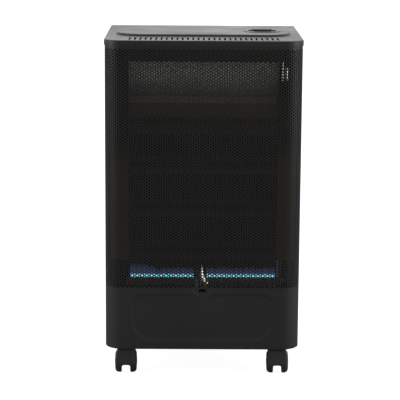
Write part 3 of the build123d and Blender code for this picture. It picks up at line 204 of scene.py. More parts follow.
def plate(outer: Array, inner: Array, keep: Array | None = None, ring: bool = False) -> Shell:
    """A sheet with two sides: an outer grid, an inner grid after it, and walls along every edge.

    A cell that isn't kept leaves a hole, and each grid edge between a kept cell and none gets a wall.

    Args:
        outer: Points of the outer side by row and column.
        inner: Points of the inner side.
        keep: Which cells stay; all of them when left out.
        ring: Whether the last row joins the first.

    Returns:
        The sheet's shell.
    """
    rows, columns = outer.shape[:2]
    cells = (rows if ring else rows - 1, columns - 1)
    keep = np.ones(cells, bool) if keep is None else keep
    i, j = np.meshgrid(np.arange(cells[0]), np.arange(cells[1]), indexing="ij")
    after = (i + 1) % rows
    a, b, c, d = i * columns + j, after * columns + j, after * columns + j + 1, i * columns + j + 1
    far = rows * columns
    beyond = np.pad(keep, 1)
    if ring:
        beyond[0, 1:-1], beyond[-1, 1:-1] = keep[-1], keep[0]
    faces = [np.stack([a[keep], b[keep], c[keep], d[keep]], 1),
             np.stack([a[keep], d[keep], c[keep], b[keep]], 1) + far]
    for start, end, neighbour in ((a, b, beyond[1:-1, :-2]), (b, c, beyond[2:, 1:-1]),
                                  (c, d, beyond[1:-1, 2:]), (d, a, beyond[:-2, 1:-1])):
        edge = keep & ~neighbour
        faces.append(walls(start[edge], end[edge], far))
    points = np.concatenate([outer.reshape(-1, 3), inner.reshape(-1, 3)])
    return Shell().add(points, np.concatenate(faces))


def lines(*marks: float, step: float | tuple[float, ...]) -> Array:
    """Even positions between marks, each stretch cut into parts no longer than its step.

    Args:
        marks: Positions that stay, in rising order.
        step: Longest part, or the longest part of each stretch.

    Returns:
        The positions.
    """
    steps = step if isinstance(step, tuple) else (step,) * (len(marks) - 1)
    parts = [
        np.linspace(low, high, max(1, math.ceil((high - low) / longest - CLOSE)) + 1)[:-1]
        for low, high, longest in zip(marks, marks[1:], steps)
    ]
    return np.concatenate(parts + [[marks[-1]]])


def middles(marks: Array) -> Array:
    """Middle of each stretch between marks."""
    return (marks[1:] + marks[:-1]) / 2


def blend_step(value: Array, low: float, high: float) -> Array:
    """Smooth step from 0 at low to 1 at high."""
    t = np.clip((value - low) / (high - low), 0, 1)
    return t * t * (3 - 2 * t)


def within(x: Array, y: Array, box: Box, radii: Pair) -> Array:
    """Distance inside the outline of a rectangle with round corners that has x = 0 in its middle.

    Args:
        x: Positions across.
        y: Positions along the other axis.
        box: Lowest x, highest x, lowest y and highest y.
        radii: Radius of the corners at the low and the high end of y.

    Returns:
        The distance, less than 0 outside.
    """
    _, high_x, low_y, high_y = box
    middle = (low_y + high_y) / 2
    radius = np.where(y < middle, *radii)
    qx = np.abs(x) - high_x + radius
    qy = np.abs(y - middle) - (high_y - low_y) / 2 + radius
    return radius - np.hypot(np.maximum(qx, 0), np.maximum(qy, 0)) - np.minimum(np.maximum(qx, qy), 0)


@dataclass(frozen=True)
class BentLine:
    """A line in a plane with a radius at each corner between its ends, read by the distance along it.

    A closed line ends where it begins, in the middle of a straight run.
    """

    corners: tuple[Pair, ...]
    radii: tuple[float, ...]

    def _runs(self) -> tuple[Array, Array, Array, Array]:
        """Cuts the line into straight runs and arcs; each corner loses the radius times tan(turn / 2).

        Returns:
            Start point, start angle, curvature and length of each run and arc in turn.
        """
        points = np.array(self.corners, float)
        legs = np.diff(points, axis=0)
        angles = np.arctan2(legs[:, 1], legs[:, 0])
        turns = (np.diff(angles) + math.pi) % TAU - math.pi
        radii = np.array(self.radii, float)
        cut = np.concatenate([[0], radii * np.tan(np.abs(turns) / 2), [0]])
        ways = legs / np.linalg.norm(legs, axis=1)[:, None]
        straight = np.linalg.norm(legs, axis=1) - cut[:-1] - cut[1:]
        count = len(legs) + len(radii)
        start, angle, curve, length = np.zeros((count, 2)), np.zeros(count), np.zeros(count), np.zeros(count)
        start[0::2], angle[0::2], length[0::2] = points[:-1] + ways * cut[:-1, None], angles, straight
        start[1::2], angle[1::2] = points[1:-1] - ways[:-1] * cut[1:-1, None], angles[:-1]
        curve[1::2], length[1::2] = np.sign(turns) / radii, np.abs(turns) * radii
        return start, angle, curve, length

    @property
    def length(self) -> float:
        """Whole length of the line."""
        return float(self._runs()[3].sum())

    def stations(self, step: float, arc_step: float) -> Array:
        """Distances at which the line is cut: even parts of each run and of each arc.

        Args:
            step: Longest part of a straight run.
            arc_step: Longest part of an arc.

        Returns:
            The distances.
        """
        _, _, curve, length = self._runs()
        ends = np.concatenate([[0], np.cumsum(length)])
        parts = [
            lines(low, high, step=arc_step if bend else step)[:-1]
            for low, high, bend in zip(ends, ends[1:], curve)
            if high - low > CLOSE
        ]
        return np.concatenate(parts + [[ends[-1]]])

    def at(self, distance: Array) -> tuple[Array, Array]:
        """Points at distances along the line, and normals to the right of its travel.

        On a run the point goes straight on; on an arc it goes round at the arc's curvature.

        Args:
            distance: Distances from the start.

        Returns:
            Points and unit normals, one row each.
        """
        start, angle, curve, length = self._runs()
        ends = np.cumsum(length)
        which = np.minimum(np.searchsorted(ends, distance - 1e-9), len(ends) - 1)
        local = distance - (ends - length)[which]
        phi, kappa = angle[which], curve[which]
        bent = np.abs(kappa) > 0
        safe = np.where(bent, kappa, 1.0)
        heading = phi + kappa * local
        x = np.where(bent, (np.sin(heading) - np.sin(phi)) / safe, np.cos(phi) * local)
        y = np.where(bent, (np.cos(phi) - np.cos(heading)) / safe, np.sin(phi) * local)
        return start[which] + np.stack([x, y], 1), np.stack([np.sin(heading), -np.cos(heading)], 1)


def rounded_rectangle(half: float, y: Pair, front: float, back: float) -> BentLine:
    """Closed line round a rectangle in plan, its normals outwards, starting in the middle of the front."""
    corners = ((0.0, y[0]), (half, y[0]), (half, y[1]), (-half, y[1]), (-half, y[0]), (0.0, y[0]))
    return BentLine(corners, (front, back, back, front))


def edge_profile(*steps: Pair, bend: float, thickness: float) -> tuple[Array, Array]:
    """Both sides of a folded sheet's section as inset and height, bends cut at 0.4 of their radius.

    Args:
        steps: Corners of the section as inset and height.
        bend: Radius of each bend on the outer side.
        thickness: Thickness of the sheet, laid to the left of the travel.

    Returns:
        Outer and inner section points, one row each.
    """
    line = BentLine(tuple(steps), (bend,) * (len(steps) - 2))
    outer, normal = line.at(line.stations(UNCUT, bend * 0.4))
    return outer, outer - normal * thickness


def folded(line: BentLine, stations: Array, sides: tuple[Array, Array], keep: Array | None = None) -> Shell:
    """A sheet whose section is carried along a line in plan.

    Each point is the line's point less its normal times the section's inset, at the section's height.

    Args:
        line: Line in plan; a closed one makes a ring.
        stations: Distances along it.
        sides: Inset and height of the points of the section's outer side, and of its inner side.
        keep: Which cells stay; all of them when left out.

    Returns:
        The sheet's shell.
    """
    place, normal = line.at(stations)
    ring = bool(np.allclose(line.corners[0], line.corners[-1]))
    grids = []
    for side in sides:
        flat = place[:, None, :] - normal[:, None, :] * side[None, :, :1]
        height = np.broadcast_to(side[:, 1], flat.shape[:2])
        grids.append(np.concatenate([flat, height[:, :, None]], 2)[: len(place) - ring])
    return plate(*grids, keep, ring)


def corner_map(x: Array, y: Array, box: Box, radii: Pair) -> Array:
    """Moves the corners of a rectangular grid onto round ones.

    Inside each corner square a point (a, b) goes to (a root(1 - b²/2), b root(1 - a²/2)). That turns the
    square into a quarter disc and leaves the two sides that it shares with the rest of the grid in place.

    Args:
        x: Positions across.
        y: Positions to the rear.
        box: Lowest x, highest x, lowest y and highest y.
        radii: Radius of the corners at the low and the high end of y.

    Returns:
        New x and y, stacked in the last axis.
    """
    x, y = x.copy(), y.copy()
    for x_side, x_end in ((-1, box[0]), (1, box[1])):
        for y_side, y_end, radius in ((-1, box[2], radii[0]), (1, box[3], radii[1])):
            a = (x - (x_end - x_side * radius)) * x_side / radius
            b = (y - (y_end - y_side * radius)) * y_side / radius
            inside = (a > 0) & (b > 0)
            a, b = np.clip(a, 0, 1), np.clip(b, 0, 1)
            new_x = x_end - x_side * radius + x_side * radius * a * np.sqrt(1 - b * b / 2)
            new_y = y_end - y_side * radius + y_side * radius * b * np.sqrt(1 - a * a / 2)
            x, y = np.where(inside, new_x, x), np.where(inside, new_y, y)
    return np.stack([x, y], -1)


def round_hole(plan: Array, centre: Pair, inner: float, outer: float, radius: float) -> Array:
    """Draws the grid in round a hole: the square of half size inner becomes a circle, the outer one stays.

    Args:
        plan: Grid of x and y.
        centre: Middle of the hole.
        inner: Half size of the square that is left out of the grid.
        outer: Half size of the square beyond which nothing moves.
        radius: Radius of the hole.

    Returns:
        The drawn grid.
    """
    offset = plan - np.array(centre)
    reach = np.abs(offset).max(-1, keepdims=True)
    length = np.linalg.norm(offset, axis=-1, keepdims=True)
    t = np.clip((reach - inner) / (outer - inner), 0, 1)
    circle = offset / np.where(length > 0, length, 1) * radius
    drawn = circle * (1 - t) + offset * t
    return np.where(reach < outer, drawn, offset) + np.array(centre)


def around(parts: int) -> Array:
    """Angles that cut a circle into even parts."""
    return np.arange(parts) / parts * TAU


def loop_faces(rows: int, columns: int, ring: bool = False) -> Array:
    """Faces of a grid of points whose columns close on themselves.

    Args:
        rows: Rows of points.
        columns: Points in a row.
        ring: Whether the last row joins the first.

    Returns:
        Faces of four points each.
    """
    i = np.arange(rows if ring else rows - 1)[:, None]
    j = np.arange(columns)[None, :]
    ni, nj = (i + 1) % rows, (j + 1) % columns
    grid = [i * columns + j, ni * columns + j, ni * columns + nj, i * columns + nj]
    return np.stack([np.broadcast_to(g, (len(i), columns)).ravel() for g in grid], 1)


def skin(grid: Array, ring: bool = False) -> Shell:
    """Closed skin over a grid of points whose columns, and with ring its rows, close on themselves."""
    return Shell().add(grid, loop_faces(*grid.shape[:2], ring))


def capped(rings: Array, first: Point, last: Point) -> Shell:
    """Closed skin over rings of points, drawn together in the first point and in the last."""
    ends = [np.broadcast_to(end, (1, *rings.shape[1:])) for end in (first, last)]
    return skin(np.concatenate([ends[0], rings, ends[1]]))


def curve(start: Array, corner: Array, end: Array, t: Array) -> Array:
    """Curve of the second order between two ends, drawn towards a corner: t runs from 0 to 1."""
    return start * (1 - t) ** 2 + 2 * t * (1 - t) * corner + end * t**2


def bent(before: Array, corner: Array, after: Array, bend: float, parts: int) -> Array:
    """Points of the curve round a corner that leaves the two runs at a distance from it.

    Args:
        before: Corner before it.
        corner: The corner.
        after: Corner after it.
        bend: Distance from the corner.
        parts: Parts of the curve.

    Returns:
        The points, one row each.
    """
    to, on = before - corner, after - corner
    start = corner + to / np.linalg.norm(to) * bend
    end = corner + on / np.linalg.norm(on) * bend
    return curve(start, corner, end, np.linspace(0, 1, parts + 1)[:, None])


def rounded(corners: list[Point], parts: int) -> Array:
    """Closed profile with rounded corners: each bend is a curve cut into a few parts.

    Args:
        corners: Radius, height and bend of each corner, in turn.
        parts: Parts of each bend.

    Returns:
        Profile points, one row each.
    """
    points = np.array(corners, float)[:, :2]
    runs = zip(np.roll(points, 1, 0), points, np.roll(points, -1, 0), corners)
    return np.concatenate([
        bent(before, corner, after, bend, parts) if bend > 0 else corner[None]
        for before, corner, after, (_, _, bend) in runs
    ])


def turned(corners: list[Point], segments: int, centre: Point, axis: str = "Z", parts: int = 4) -> Shell:
    """Solid of revolution from a closed profile: each point goes round the axis at its radius and height.

    Args:
        corners: Radius, height along the axis and bend of each corner of the profile.
        segments: Parts of the circle; six make a hexagon.
        centre: Where the axis starts.
        axis: X, Y or Z.
        parts: Parts of each bend.

    Returns:
        The solid's shell.
    """
    angle = around(segments)[:, None]
    radius, height = rounded(corners, parts).T
    x, y = np.cos(angle) * radius, np.sin(angle) * radius
    z = np.broadcast_to(height, x.shape)
    order = {"Z": (x, y, z), "X": (z, x, y), "Y": (y, z, x)}[axis]
    return skin(np.stack(order, -1) + np.array(centre), True)


def tube(points: list[Point], radius: float, bend: float, sides: int = 16) -> Shell:
    """A round tube along straight runs with rounded corners, closed at both ends.

    Each corner is a curve between the runs; the section is turned the least from one station to the next.

    Args:
        points: Corners of the route.
        radius: Radius of the tube.
        bend: Distance from a corner at which its bend starts.
        sides: Parts of the section.

    Returns:
        The tube's shell.
    """
    corners = np.array(points, float)
    bends = [bent(*three, bend, 8) for three in zip(corners, corners[1:], corners[2:])]
    path = np.concatenate([corners[:1], *bends, corners[-1:]])
    way = np.gradient(path, axis=0)
    way /= np.linalg.norm(way, axis=1)[:, None]
    side = np.cross(way[0], [0.0, 0.0, 1.0] if abs(way[0][2]) < 0.9 else [1.0, 0.0, 0.0])
    sides_at = []
    for tangent in way:
        side = side - tangent * (side @ tangent)
        side = side / np.linalg.norm(side)
        sides_at.append(side)
    u = np.array(sides_at)
    v = np.cross(way, u)
    angle = around(sides)
    ring = np.cos(angle)[None, :, None] * u[:, None, :] + np.sin(angle)[None, :, None] * v[:, None, :]
    return capped(path[:, None, :] + ring * radius, path[0], path[-1])


# ---- Finishes
class Texture(Enum):
    """How a surface is worked, which decides the pattern under its colour."""

    POWDER = "powder coat"
    BRUSHED = "rolled sheet"
    MOULDED = "moulded plastic"
    CAST = "cast or turned metal"


class Board:
    """A short hand for making and joining shader nodes."""

    def __init__(self, tree: Tree) -> None:
        """Keeps the tree that the nodes go into."""
        self.tree = tree

    @classmethod
    def on(cls, owner: Material | bpy.types.World) -> "Board":
        """Empties a material's or a world's nodes.

        Args:
            owner: The material or the world.

        Returns:
            A board on its node tree.
        """
        owner.use_nodes = True
        owner.node_tree.nodes.clear()
        return cls(owner.node_tree)

    def add(self, kind: str, settings: dict | None = None, **inputs: object) -> bpy.types.Node:
        """Adds a node.

        Args:
            kind: The node's type after ShaderNode.
            settings: Properties of the node.
            inputs: Values or sockets for its inputs, with underscores for spaces; i0, i1 name one by number.

        Returns:
            The node.
        """
        node = self.tree.nodes.new("ShaderNode" + kind)
        for name, value in (settings or {}).items():
            setattr(node, name, value)
        for name, value in inputs.items():
            numbered = name[0] == "i" and name[1:].isdigit()
            socket = node.inputs[int(name[1:])] if numbered else node.inputs[name.replace("_", " ")]
            if isinstance(value, bpy.types.NodeSocket):
                self.tree.links.new(value, socket)
            else:
                socket.default_value = value
        return node

    def math(self, operation: str, a: object, b: object = 0.0, clamp: bool = False) -> Socket:
        """Result of one sum on two values."""
        return self.add("Math", {"operation": operation, "use_clamp": clamp}, i0=a, i1=b).outputs[0]

    def mix(self, factor: object, a: object, b: object) -> Socket:
        """Colour between two colours."""
        return self.add("Mix", {"data_type": "RGBA"}, i0=factor, i6=colour(a), i7=colour(b)).outputs[2]

    def noise(self, vector: object, scale: object, detail: float = 4.0) -> Socket:
        """Noise value at a vector."""
        return self.add("TexNoise", Vector=vector, Scale=scale, Detail=detail).outputs["Fac"]

    def give(self, **sockets: Socket) -> Tree:
        """Joins sockets to a group's outputs.

        Args:
            sockets: What goes to each output, by its name.

        Returns:
            The finished group.
        """
        out = self.tree.nodes.new("NodeGroupOutput")
        for name, socket in sockets.items():
            self.tree.links.new(socket, out.inputs[name])
        return self.tree


def colour(value: object) -> object:
    """A colour with its fourth value, or a socket as it is."""
    return (*value, 1.0) if isinstance(value, tuple) and len(value) == 3 else value


class Groups:
    """Shader node groups that several finishes share, each built once."""

    WORKED = {"Vector": "Vector", "Base": "Color", "Accent": "Color", "Variation": "Float",
              "Roughness": "Float", "Spread": "Float"}
    LOOKS = {"Color": "Color", "Roughness": "Float", "Height": "Float"}

    def __init__(self) -> None:
        """Builds the groups."""
        self.grain = self._grain()
        self.streaks = self._streaks()
        self.dust = self._dust()
        self.heat = self._heat()

    @staticmethod
    def _new(name: str, inputs: dict[str, str], outputs: dict[str, str]) -> tuple[Board, dict[str, Socket]]:
        """An empty group with its sockets.

        Args:
            name: Name of the group.
            inputs: Kind of socket by input name.
            outputs: Kind of socket by output name.

        Returns:
            A board to fill it with, and its inputs by name.
        """
        tree = bpy.data.node_groups.new(name, "ShaderNodeTree")
        for way, sockets in (("INPUT", inputs), ("OUTPUT", outputs)):
            for label, kind in sockets.items():
                tree.interface.new_socket(label, in_out=way, socket_type="NodeSocket" + kind)
        given = tree.nodes.new("NodeGroupInput").outputs
        return Board(tree), {label: given[label] for label in inputs}

    @staticmethod
    def _worked(board: Board, given: dict[str, Socket], share: Socket, cloud: Socket,
                height: Socket) -> Tree:
        """Finishes a pattern: its share mixes the accent in and its cloud swings the roughness.

        Args:
            board: The group's board.
            given: The group's inputs.
            share: How much of the accent shows before the variation counts.
            cloud: Slow change from 0 to 1.
            height: Relief.

        Returns:
            The finished group.
        """
        mixed = board.math("MULTIPLY", share, given["Variation"], True)
        tint = board.mix(mixed, given["Base"], given["Accent"])
        swing = board.math("MULTIPLY", board.math("SUBTRACT", cloud, 0.5), given["Spread"])
        rough = board.math("ADD", given["Roughness"], swing, True)
        return board.give(Color=tint, Roughness=rough, Height=height)

    def _grain(self) -> Tree:
        """Fine grain with slow changes of colour and roughness over the surface.

        Returns:
            The group.
        """
        board, given = self._new("surface_grain", self.WORKED | {"Scale": "Float"}, self.LOOKS)
        fine = board.noise(given["Vector"], given["Scale"], 3.0)
        slow = board.noise(given["Vector"], 9.0, 5.0)
        patch = board.add("MapRange", Value=slow, From_Min=0.35, From_Max=0.65).outputs[0]
        share = board.math("ADD", board.math("MULTIPLY", fine, 0.6), patch)
        return self._worked(board, given, share, patch, fine)

    def _streaks(self) -> Tree:
        """Streaks along one axis, as rolling and brushing leave them.

        Returns:
            The group.
        """
        board, given = self._new("rolled_streaks", self.WORKED | {"Stretch": "Vector"}, self.LOOKS)
        drawn = board.add("VectorMath", {"operation": "MULTIPLY"}, i0=given["Vector"], i1=given["Stretch"])
        streak = board.noise(drawn.outputs[0], 1.0, 6.0)
        cloud = board.noise(given["Vector"], 14.0, 4.0)
        both = board.math("ADD", board.math("MULTIPLY", streak, 0.6), board.math("MULTIPLY", cloud, 0.4))
        return self._worked(board, given, both, both, streak)

    def _dust(self) -> Tree:
        """Mask of the dust that settles on what faces up, uneven by a cloudy noise.

        Returns:
            The group.
        """
        board, given = self._new("settled_dust", {"Vector": "Vector", "Amount": "Float"}, {"Mask": "Float"})
        normal = board.add("NewGeometry").outputs["Normal"]
        up = board.add("SeparateXYZ", i0=normal).outputs["Z"]
        facing = board.math("MULTIPLY", board.math("MAXIMUM", up, 0.0), given["Amount"])
        cloud = board.noise(given["Vector"], 22.0, 6.0)
        return board.give(Mask=board.math("MULTIPLY", facing, cloud, True))

    def _heat(self) -> Tree:
        """Mask of a band between two heights with an uneven border.

        On the deflector it is a heat tint, on the cheeks a near-black top, and on the tube painted shade.

        Returns:
            The group.
        """
        inputs = {"Vector": "Vector", "Low": "Float", "High": "Float", "Softness": "Float"}
        board, given = self._new("heat_tint", inputs, {"Mask": "Float"})
        height = board.add("SeparateXYZ", i0=given["Vector"]).outputs["Z"]
        cloud = board.noise(given["Vector"], 11.0, 4.0)
        wobble = board.math("MULTIPLY", board.math("SUBTRACT", cloud, 0.5), given["Softness"])
        place = board.math("ADD", height, wobble)
        rise = board.math("DIVIDE", board.math("SUBTRACT", place, given["Low"]), given["Softness"], True)
        fall = board.math("DIVIDE", board.math("SUBTRACT", given["High"], place), given["Softness"], True)
        return board.give(Mask=board.math("MULTIPLY", rise, fall, True))


@dataclass(frozen=True)
class Finish:
    """One surface finish: a main colour, an accent that its pattern mixes in, and how it shines.

    Scale counts grains in a metre, stretch the streaks in a metre on each axis; relief is in millimetres.
    Variation is how much of the accent shows, spread how far the roughness swings, dust how much lies on
    what faces up, and the heat-and-shade band its lowest and highest height in metres with its colour: a heat
    tint on some finishes, painted shade on the tube. Sheen is less on soot.
    """

    name: str
    texture: Texture
    base: Rgb
    accent: Rgb
    roughness: float
    metallic: float = 0.0
    scale: float = 900.0
    relief: float = 0.02
    variation: float = 0.5
    spread: float = 0.12
    stretch: Point = (6.0, 400.0, 400.0)
    dust: float = 0.0
    heat: tuple[float, float, Rgb] | None = None
    sheen: float = 0.5

    TINT_AND_SHADE_BORDER = 0.06
    DUST_TINT = (0.30, 0.28, 0.26)
    BUMP = 0.6

    def material(self, groups: Groups) -> Material:
        """Builds the node material.

        Args:
            groups: The shared node groups.

        Returns:
            The material.
        """
        material = bpy.data.materials.new(self.name)
        board = Board.on(material)
        place = board.add("TexCoord").outputs["Object"]
        rolled = self.texture is Texture.BRUSHED
        own = {"Stretch": self.stretch} if rolled else {"Scale": self.scale}
        worked = board.add("Group", {"node_tree": groups.streaks if rolled else groups.grain}, Vector=place,
                           Base=colour(self.base), Accent=colour(self.accent), Variation=self.variation,
                           Roughness=self.roughness, Spread=self.spread, **own).outputs
        tint = worked["Color"]
        # Band by height: a heat tint on some finishes, painted shade on the lower tube.
        if self.heat:
            low, high, band_colour = self.heat
            mask = board.add("Group", {"node_tree": groups.heat}, Vector=place, Low=low, High=high,
                             Softness=self.TINT_AND_SHADE_BORDER)
            tint = board.mix(mask.outputs["Mask"], tint, band_colour)
        if self.dust:
            mask = board.add("Group", {"node_tree": groups.dust}, Vector=place, Amount=self.dust)
            tint = board.mix(mask.outputs["Mask"], tint, self.DUST_TINT)
        bump = board.add("Bump", Strength=self.BUMP, Distance=self.relief * MM, Height=worked["Height"])
        shader = board.add("BsdfPrincipled", Base_Color=tint, Roughness=worked["Roughness"],
                           Metallic=self.metallic, Normal=bump.outputs[0], Specular_IOR_Level=self.sheen)
        board.add("OutputMaterial", Surface=shader.outputs[0])
        return material


@dataclass(frozen=True)
class FlameFinish:
    """Light of a flame: its colour goes from low to high over its height above its foot, both in metres.

    Body is how thick it looks at its brightest height, base how much of it already shows at the ports.
    """

    name: str
    foot: float
    height: float
    low: Rgb
    high: Rgb
    power: float
    body: float
    base: float

    def material(self) -> Material:
        """Builds the flame's node material: the rise runs from 0 at the ports to 1 where the flame has faded.

        Its clearness is (1 - rise) times (rise + base) times body, and its colour goes from low to high.

        Returns:
            The material.
        """
        material = bpy.data.materials.new(self.name)
        board = Board.on(material)
        place = board.add("TexCoord").outputs["Object"]
        height = board.add("SeparateXYZ", i0=place).outputs["Z"]
        rise = board.math("DIVIDE", board.math("SUBTRACT", height, self.foot), self.height, True)
        tint = board.mix(rise, self.low, self.high)
        bell = board.math("MULTIPLY", board.math("SUBTRACT", 1.0, rise), board.math("ADD", rise, self.base))
        fade = board.math("MULTIPLY", bell, self.body, True)
        shader = board.add("BsdfPrincipled", Base_Color=(0.0, 0.0, 0.0, 1.0), Roughness=1.0, Alpha=fade,
                           Specular_IOR_Level=0.0, Emission_Color=tint, Emission_Strength=self.power)
        board.add("OutputMaterial", Surface=shader.outputs[0])
        material.surface_render_method = "BLENDED"
        return material


class Finishes:
    """Every finish on the heater, by the part that wears it."""

    def __init__(self) -> None:
        """Builds the materials from the finishes' own values."""
        groups = Groups()
        self.paint = Finish(
            "powder_coat_black", Texture.POWDER, (0.0190, 0.0178, 0.0182), (0.026, 0.0248, 0.0248), 0.44,
            scale=1400.0, relief=0.05, variation=0.35, spread=0.10, dust=0.02).material(groups)
        self.mesh_paint = Finish(
            "powder_coat_mesh", Texture.POWDER, (0.0178, 0.0168, 0.0155), (0.025, 0.0236, 0.0218), 0.46,
            scale=1400.0, relief=0.03, variation=0.35, spread=0.08).material(groups)
        self.bright = Finish(
            "aluminised_sheet", Texture.BRUSHED, (0.98, 0.98, 0.94), (0.82, 0.81, 0.77), 0.45, metallic=0.5,
            variation=0.8, spread=0.15, heat=(0.55, 0.654, (0.105, 0.070, 0.042))).material(groups)
        self.tinted = Finish(
            "heat_tinted_sheet", Texture.BRUSHED, (0.22, 0.136, 0.070), (0.105, 0.073, 0.045), 0.45,
            metallic=1.0, variation=0.9, spread=0.2).material(groups)
        self.dark = Finish(
            "sooty_sheet", Texture.BRUSHED, (0.005, 0.0047, 0.0042), (0.010, 0.008, 0.006), 0.62,
            metallic=0.35, variation=0.7, spread=0.2, sheen=0.2).material(groups)
        self.baffle = Finish(
            "heat_darkened_sheet", Texture.BRUSHED, (0.046, 0.044, 0.039), (0.020, 0.017, 0.013), 0.5,
            metallic=0.9, variation=0.9, spread=0.2).material(groups)
        # The cheeks are near black above 0.46 m and brown below.
        self.cheek = Finish(
            "chamber_sheet", Texture.BRUSHED, (0.140, 0.096, 0.052), (0.070, 0.046, 0.026), 0.5, metallic=1.0,
            variation=0.8, stretch=(400.0, 400.0, 6.0),
            heat=(0.46, 0.90, (0.016, 0.014, 0.012))).material(groups)
        self.burner = Finish(
            "burner_steel", Texture.BRUSHED, (0.20, 0.18, 0.17), (0.10, 0.07, 0.05), 0.45, metallic=1.0,
            variation=0.9).material(groups)
        self.zinc = Finish(
            "zinc_plated_steel", Texture.CAST, (0.58, 0.59, 0.60), (0.42, 0.43, 0.45), 0.34, metallic=1.0,
            scale=700.0, relief=0.01).material(groups)
        # Near black below 0.63 m: painted shade on the lower tube, which runs in the chamber's shade.
        self.tube = Finish(
            "bright_tube", Texture.BRUSHED, (0.99, 0.99, 0.99), (0.95, 0.95, 0.96), 0.20, metallic=0.9,
            variation=0.4, spread=0.05, stretch=(300.0, 300.0, 8.0),
            heat=(-0.1, 0.63, (0.07, 0.06, 0.05))).material(groups)
        self.brass = Finish(
            "turned_brass", Texture.CAST, (0.70, 0.50, 0.22), (0.50, 0.34, 0.14), 0.32, metallic=1.0,
            scale=600.0).material(groups)
        self.copper = Finish(
            "drawn_copper", Texture.CAST, (0.66, 0.33, 0.20), (0.38, 0.19, 0.12), 0.35, metallic=1.0,
            scale=500.0, relief=0.01).material(groups)
        self.silicone = Finish(
            "silicone_cover", Texture.MOULDED, (0.50, 0.47, 0.42), (0.38, 0.35, 0.31), 0.6).material(groups)
        self.ceramic = Finish(
            "white_ceramic", Texture.MOULDED, (0.80, 0.78, 0.72), (0.62, 0.58, 0.52), 0.4, scale=1500.0,
            relief=0.01).material(groups)
        self.plastic = Finish(
            "moulded_black", Texture.MOULDED, (0.018, 0.018, 0.019), (0.028, 0.028, 0.029), 0.42,
            scale=1100.0, relief=0.03, variation=0.4, dust=0.03).material(groups)
        self.hood = Finish(
            "castor_hood_nylon", Texture.MOULDED, (0.029, 0.029, 0.030), (0.056, 0.056, 0.057), 0.38,
            scale=1200.0, relief=0.03, variation=0.4, dust=0.02).material(groups)
        self.wheel = Finish(
            "castor_wheel_nylon", Texture.MOULDED, (0.020, 0.020, 0.021), (0.060, 0.060, 0.062), 0.42,
            scale=1600.0, relief=0.06, dust=0.05).material(groups)
        self.flame_core = FlameFinish(
            "flame_core", 0.2160, 0.0095, (0.40, 0.95, 1.0), (0.10, 0.42, 0.75), 1.6, 3.6, 0.05).material()
        self.flame_mantle = FlameFinish(
            "flame_mantle", 0.2155, 0.037, (0.08, 0.18, 0.42), (0.15, 0.11, 0.29), 0.42, 1.9, 0.10).material()
        self.pilot_flame = FlameFinish(
            "pilot_flame", 0.203, 0.046, (0.96, 0.94, 0.86), (0.52, 0.42, 0.30), 1.7, 2.3, 0.10).material()


# ---- Sub-assemblies
@dataclass
class Assembly:
    """A sub-assembly of the loaded frame and the ways to put its pieces into the scene."""

    frame: dict
    finishes: Finishes

    def add(self, name: str, shape: Shell | bpy.types.Mesh, material: Material, slot: str, *nodes: str,
            body: str = "cabinet", crease: float = 35.0, merge: bool = True) -> bpy.types.Object:
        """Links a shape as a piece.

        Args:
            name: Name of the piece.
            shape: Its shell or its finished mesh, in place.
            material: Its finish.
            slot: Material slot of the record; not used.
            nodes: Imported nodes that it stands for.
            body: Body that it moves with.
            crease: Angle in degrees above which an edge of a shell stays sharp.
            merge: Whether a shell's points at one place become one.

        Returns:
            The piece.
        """
        mesh = shape.mesh(name, crease, merge) if isinstance(shape, Shell) else shape
        mesh.materials.clear()
        mesh.materials.append(material)
        piece = bpy.data.objects.new(name, mesh)
        bpy.context.scene.collection.objects.link(piece)
        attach(piece, body)
        if nodes:
            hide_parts(*nodes)
        LOG.info("%s: %d faces on %s", name, len(mesh.polygons), body)
        return piece

    def dress(self, material: Material, *nodes: str) -> None:
        """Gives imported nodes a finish.

        Args:
            material: The finish.
            nodes: Names of the nodes.
        """
        for name in nodes:
            target = self.frame["nodes"][name]
            target.data.materials.clear()
            target.data.materials.append(material)

    def soften(self, node: str, material: Material, slot: str, width: float) -> None:
        """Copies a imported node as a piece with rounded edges.

        Args:
            node: The node that it copies and stands for.
            material: Its finish.
            slot: Its material slot.
            width: Width of the rounding in millimetres.
        """
        flat, sharp = math.radians(0.5), math.radians(30.0)
        mesh = self.frame["nodes"][node].data.copy()
        board = bmesh.new()
        board.from_mesh(mesh)
        bmesh.ops.remove_doubles(board, verts=board.verts, dist=WELD / 2)
        bmesh.ops.dissolve_limit(board, angle_limit=flat, verts=board.verts, edges=board.edges)
        board.to_mesh(mesh)
        board.free()
        mesh.polygons.foreach_set("use_smooth", np.ones(len(mesh.polygons), bool))
        mesh.set_sharp_from_angle(angle=sharp)
        bevel = self.add(node + "_finished", mesh, material, slot, node).modifiers.new("edges", "BEVEL")
        bevel.width, bevel.segments = width * MM, 2
        bevel.limit_method, bevel.angle_limit = "ANGLE", sharp
        bevel.harden_normals = True


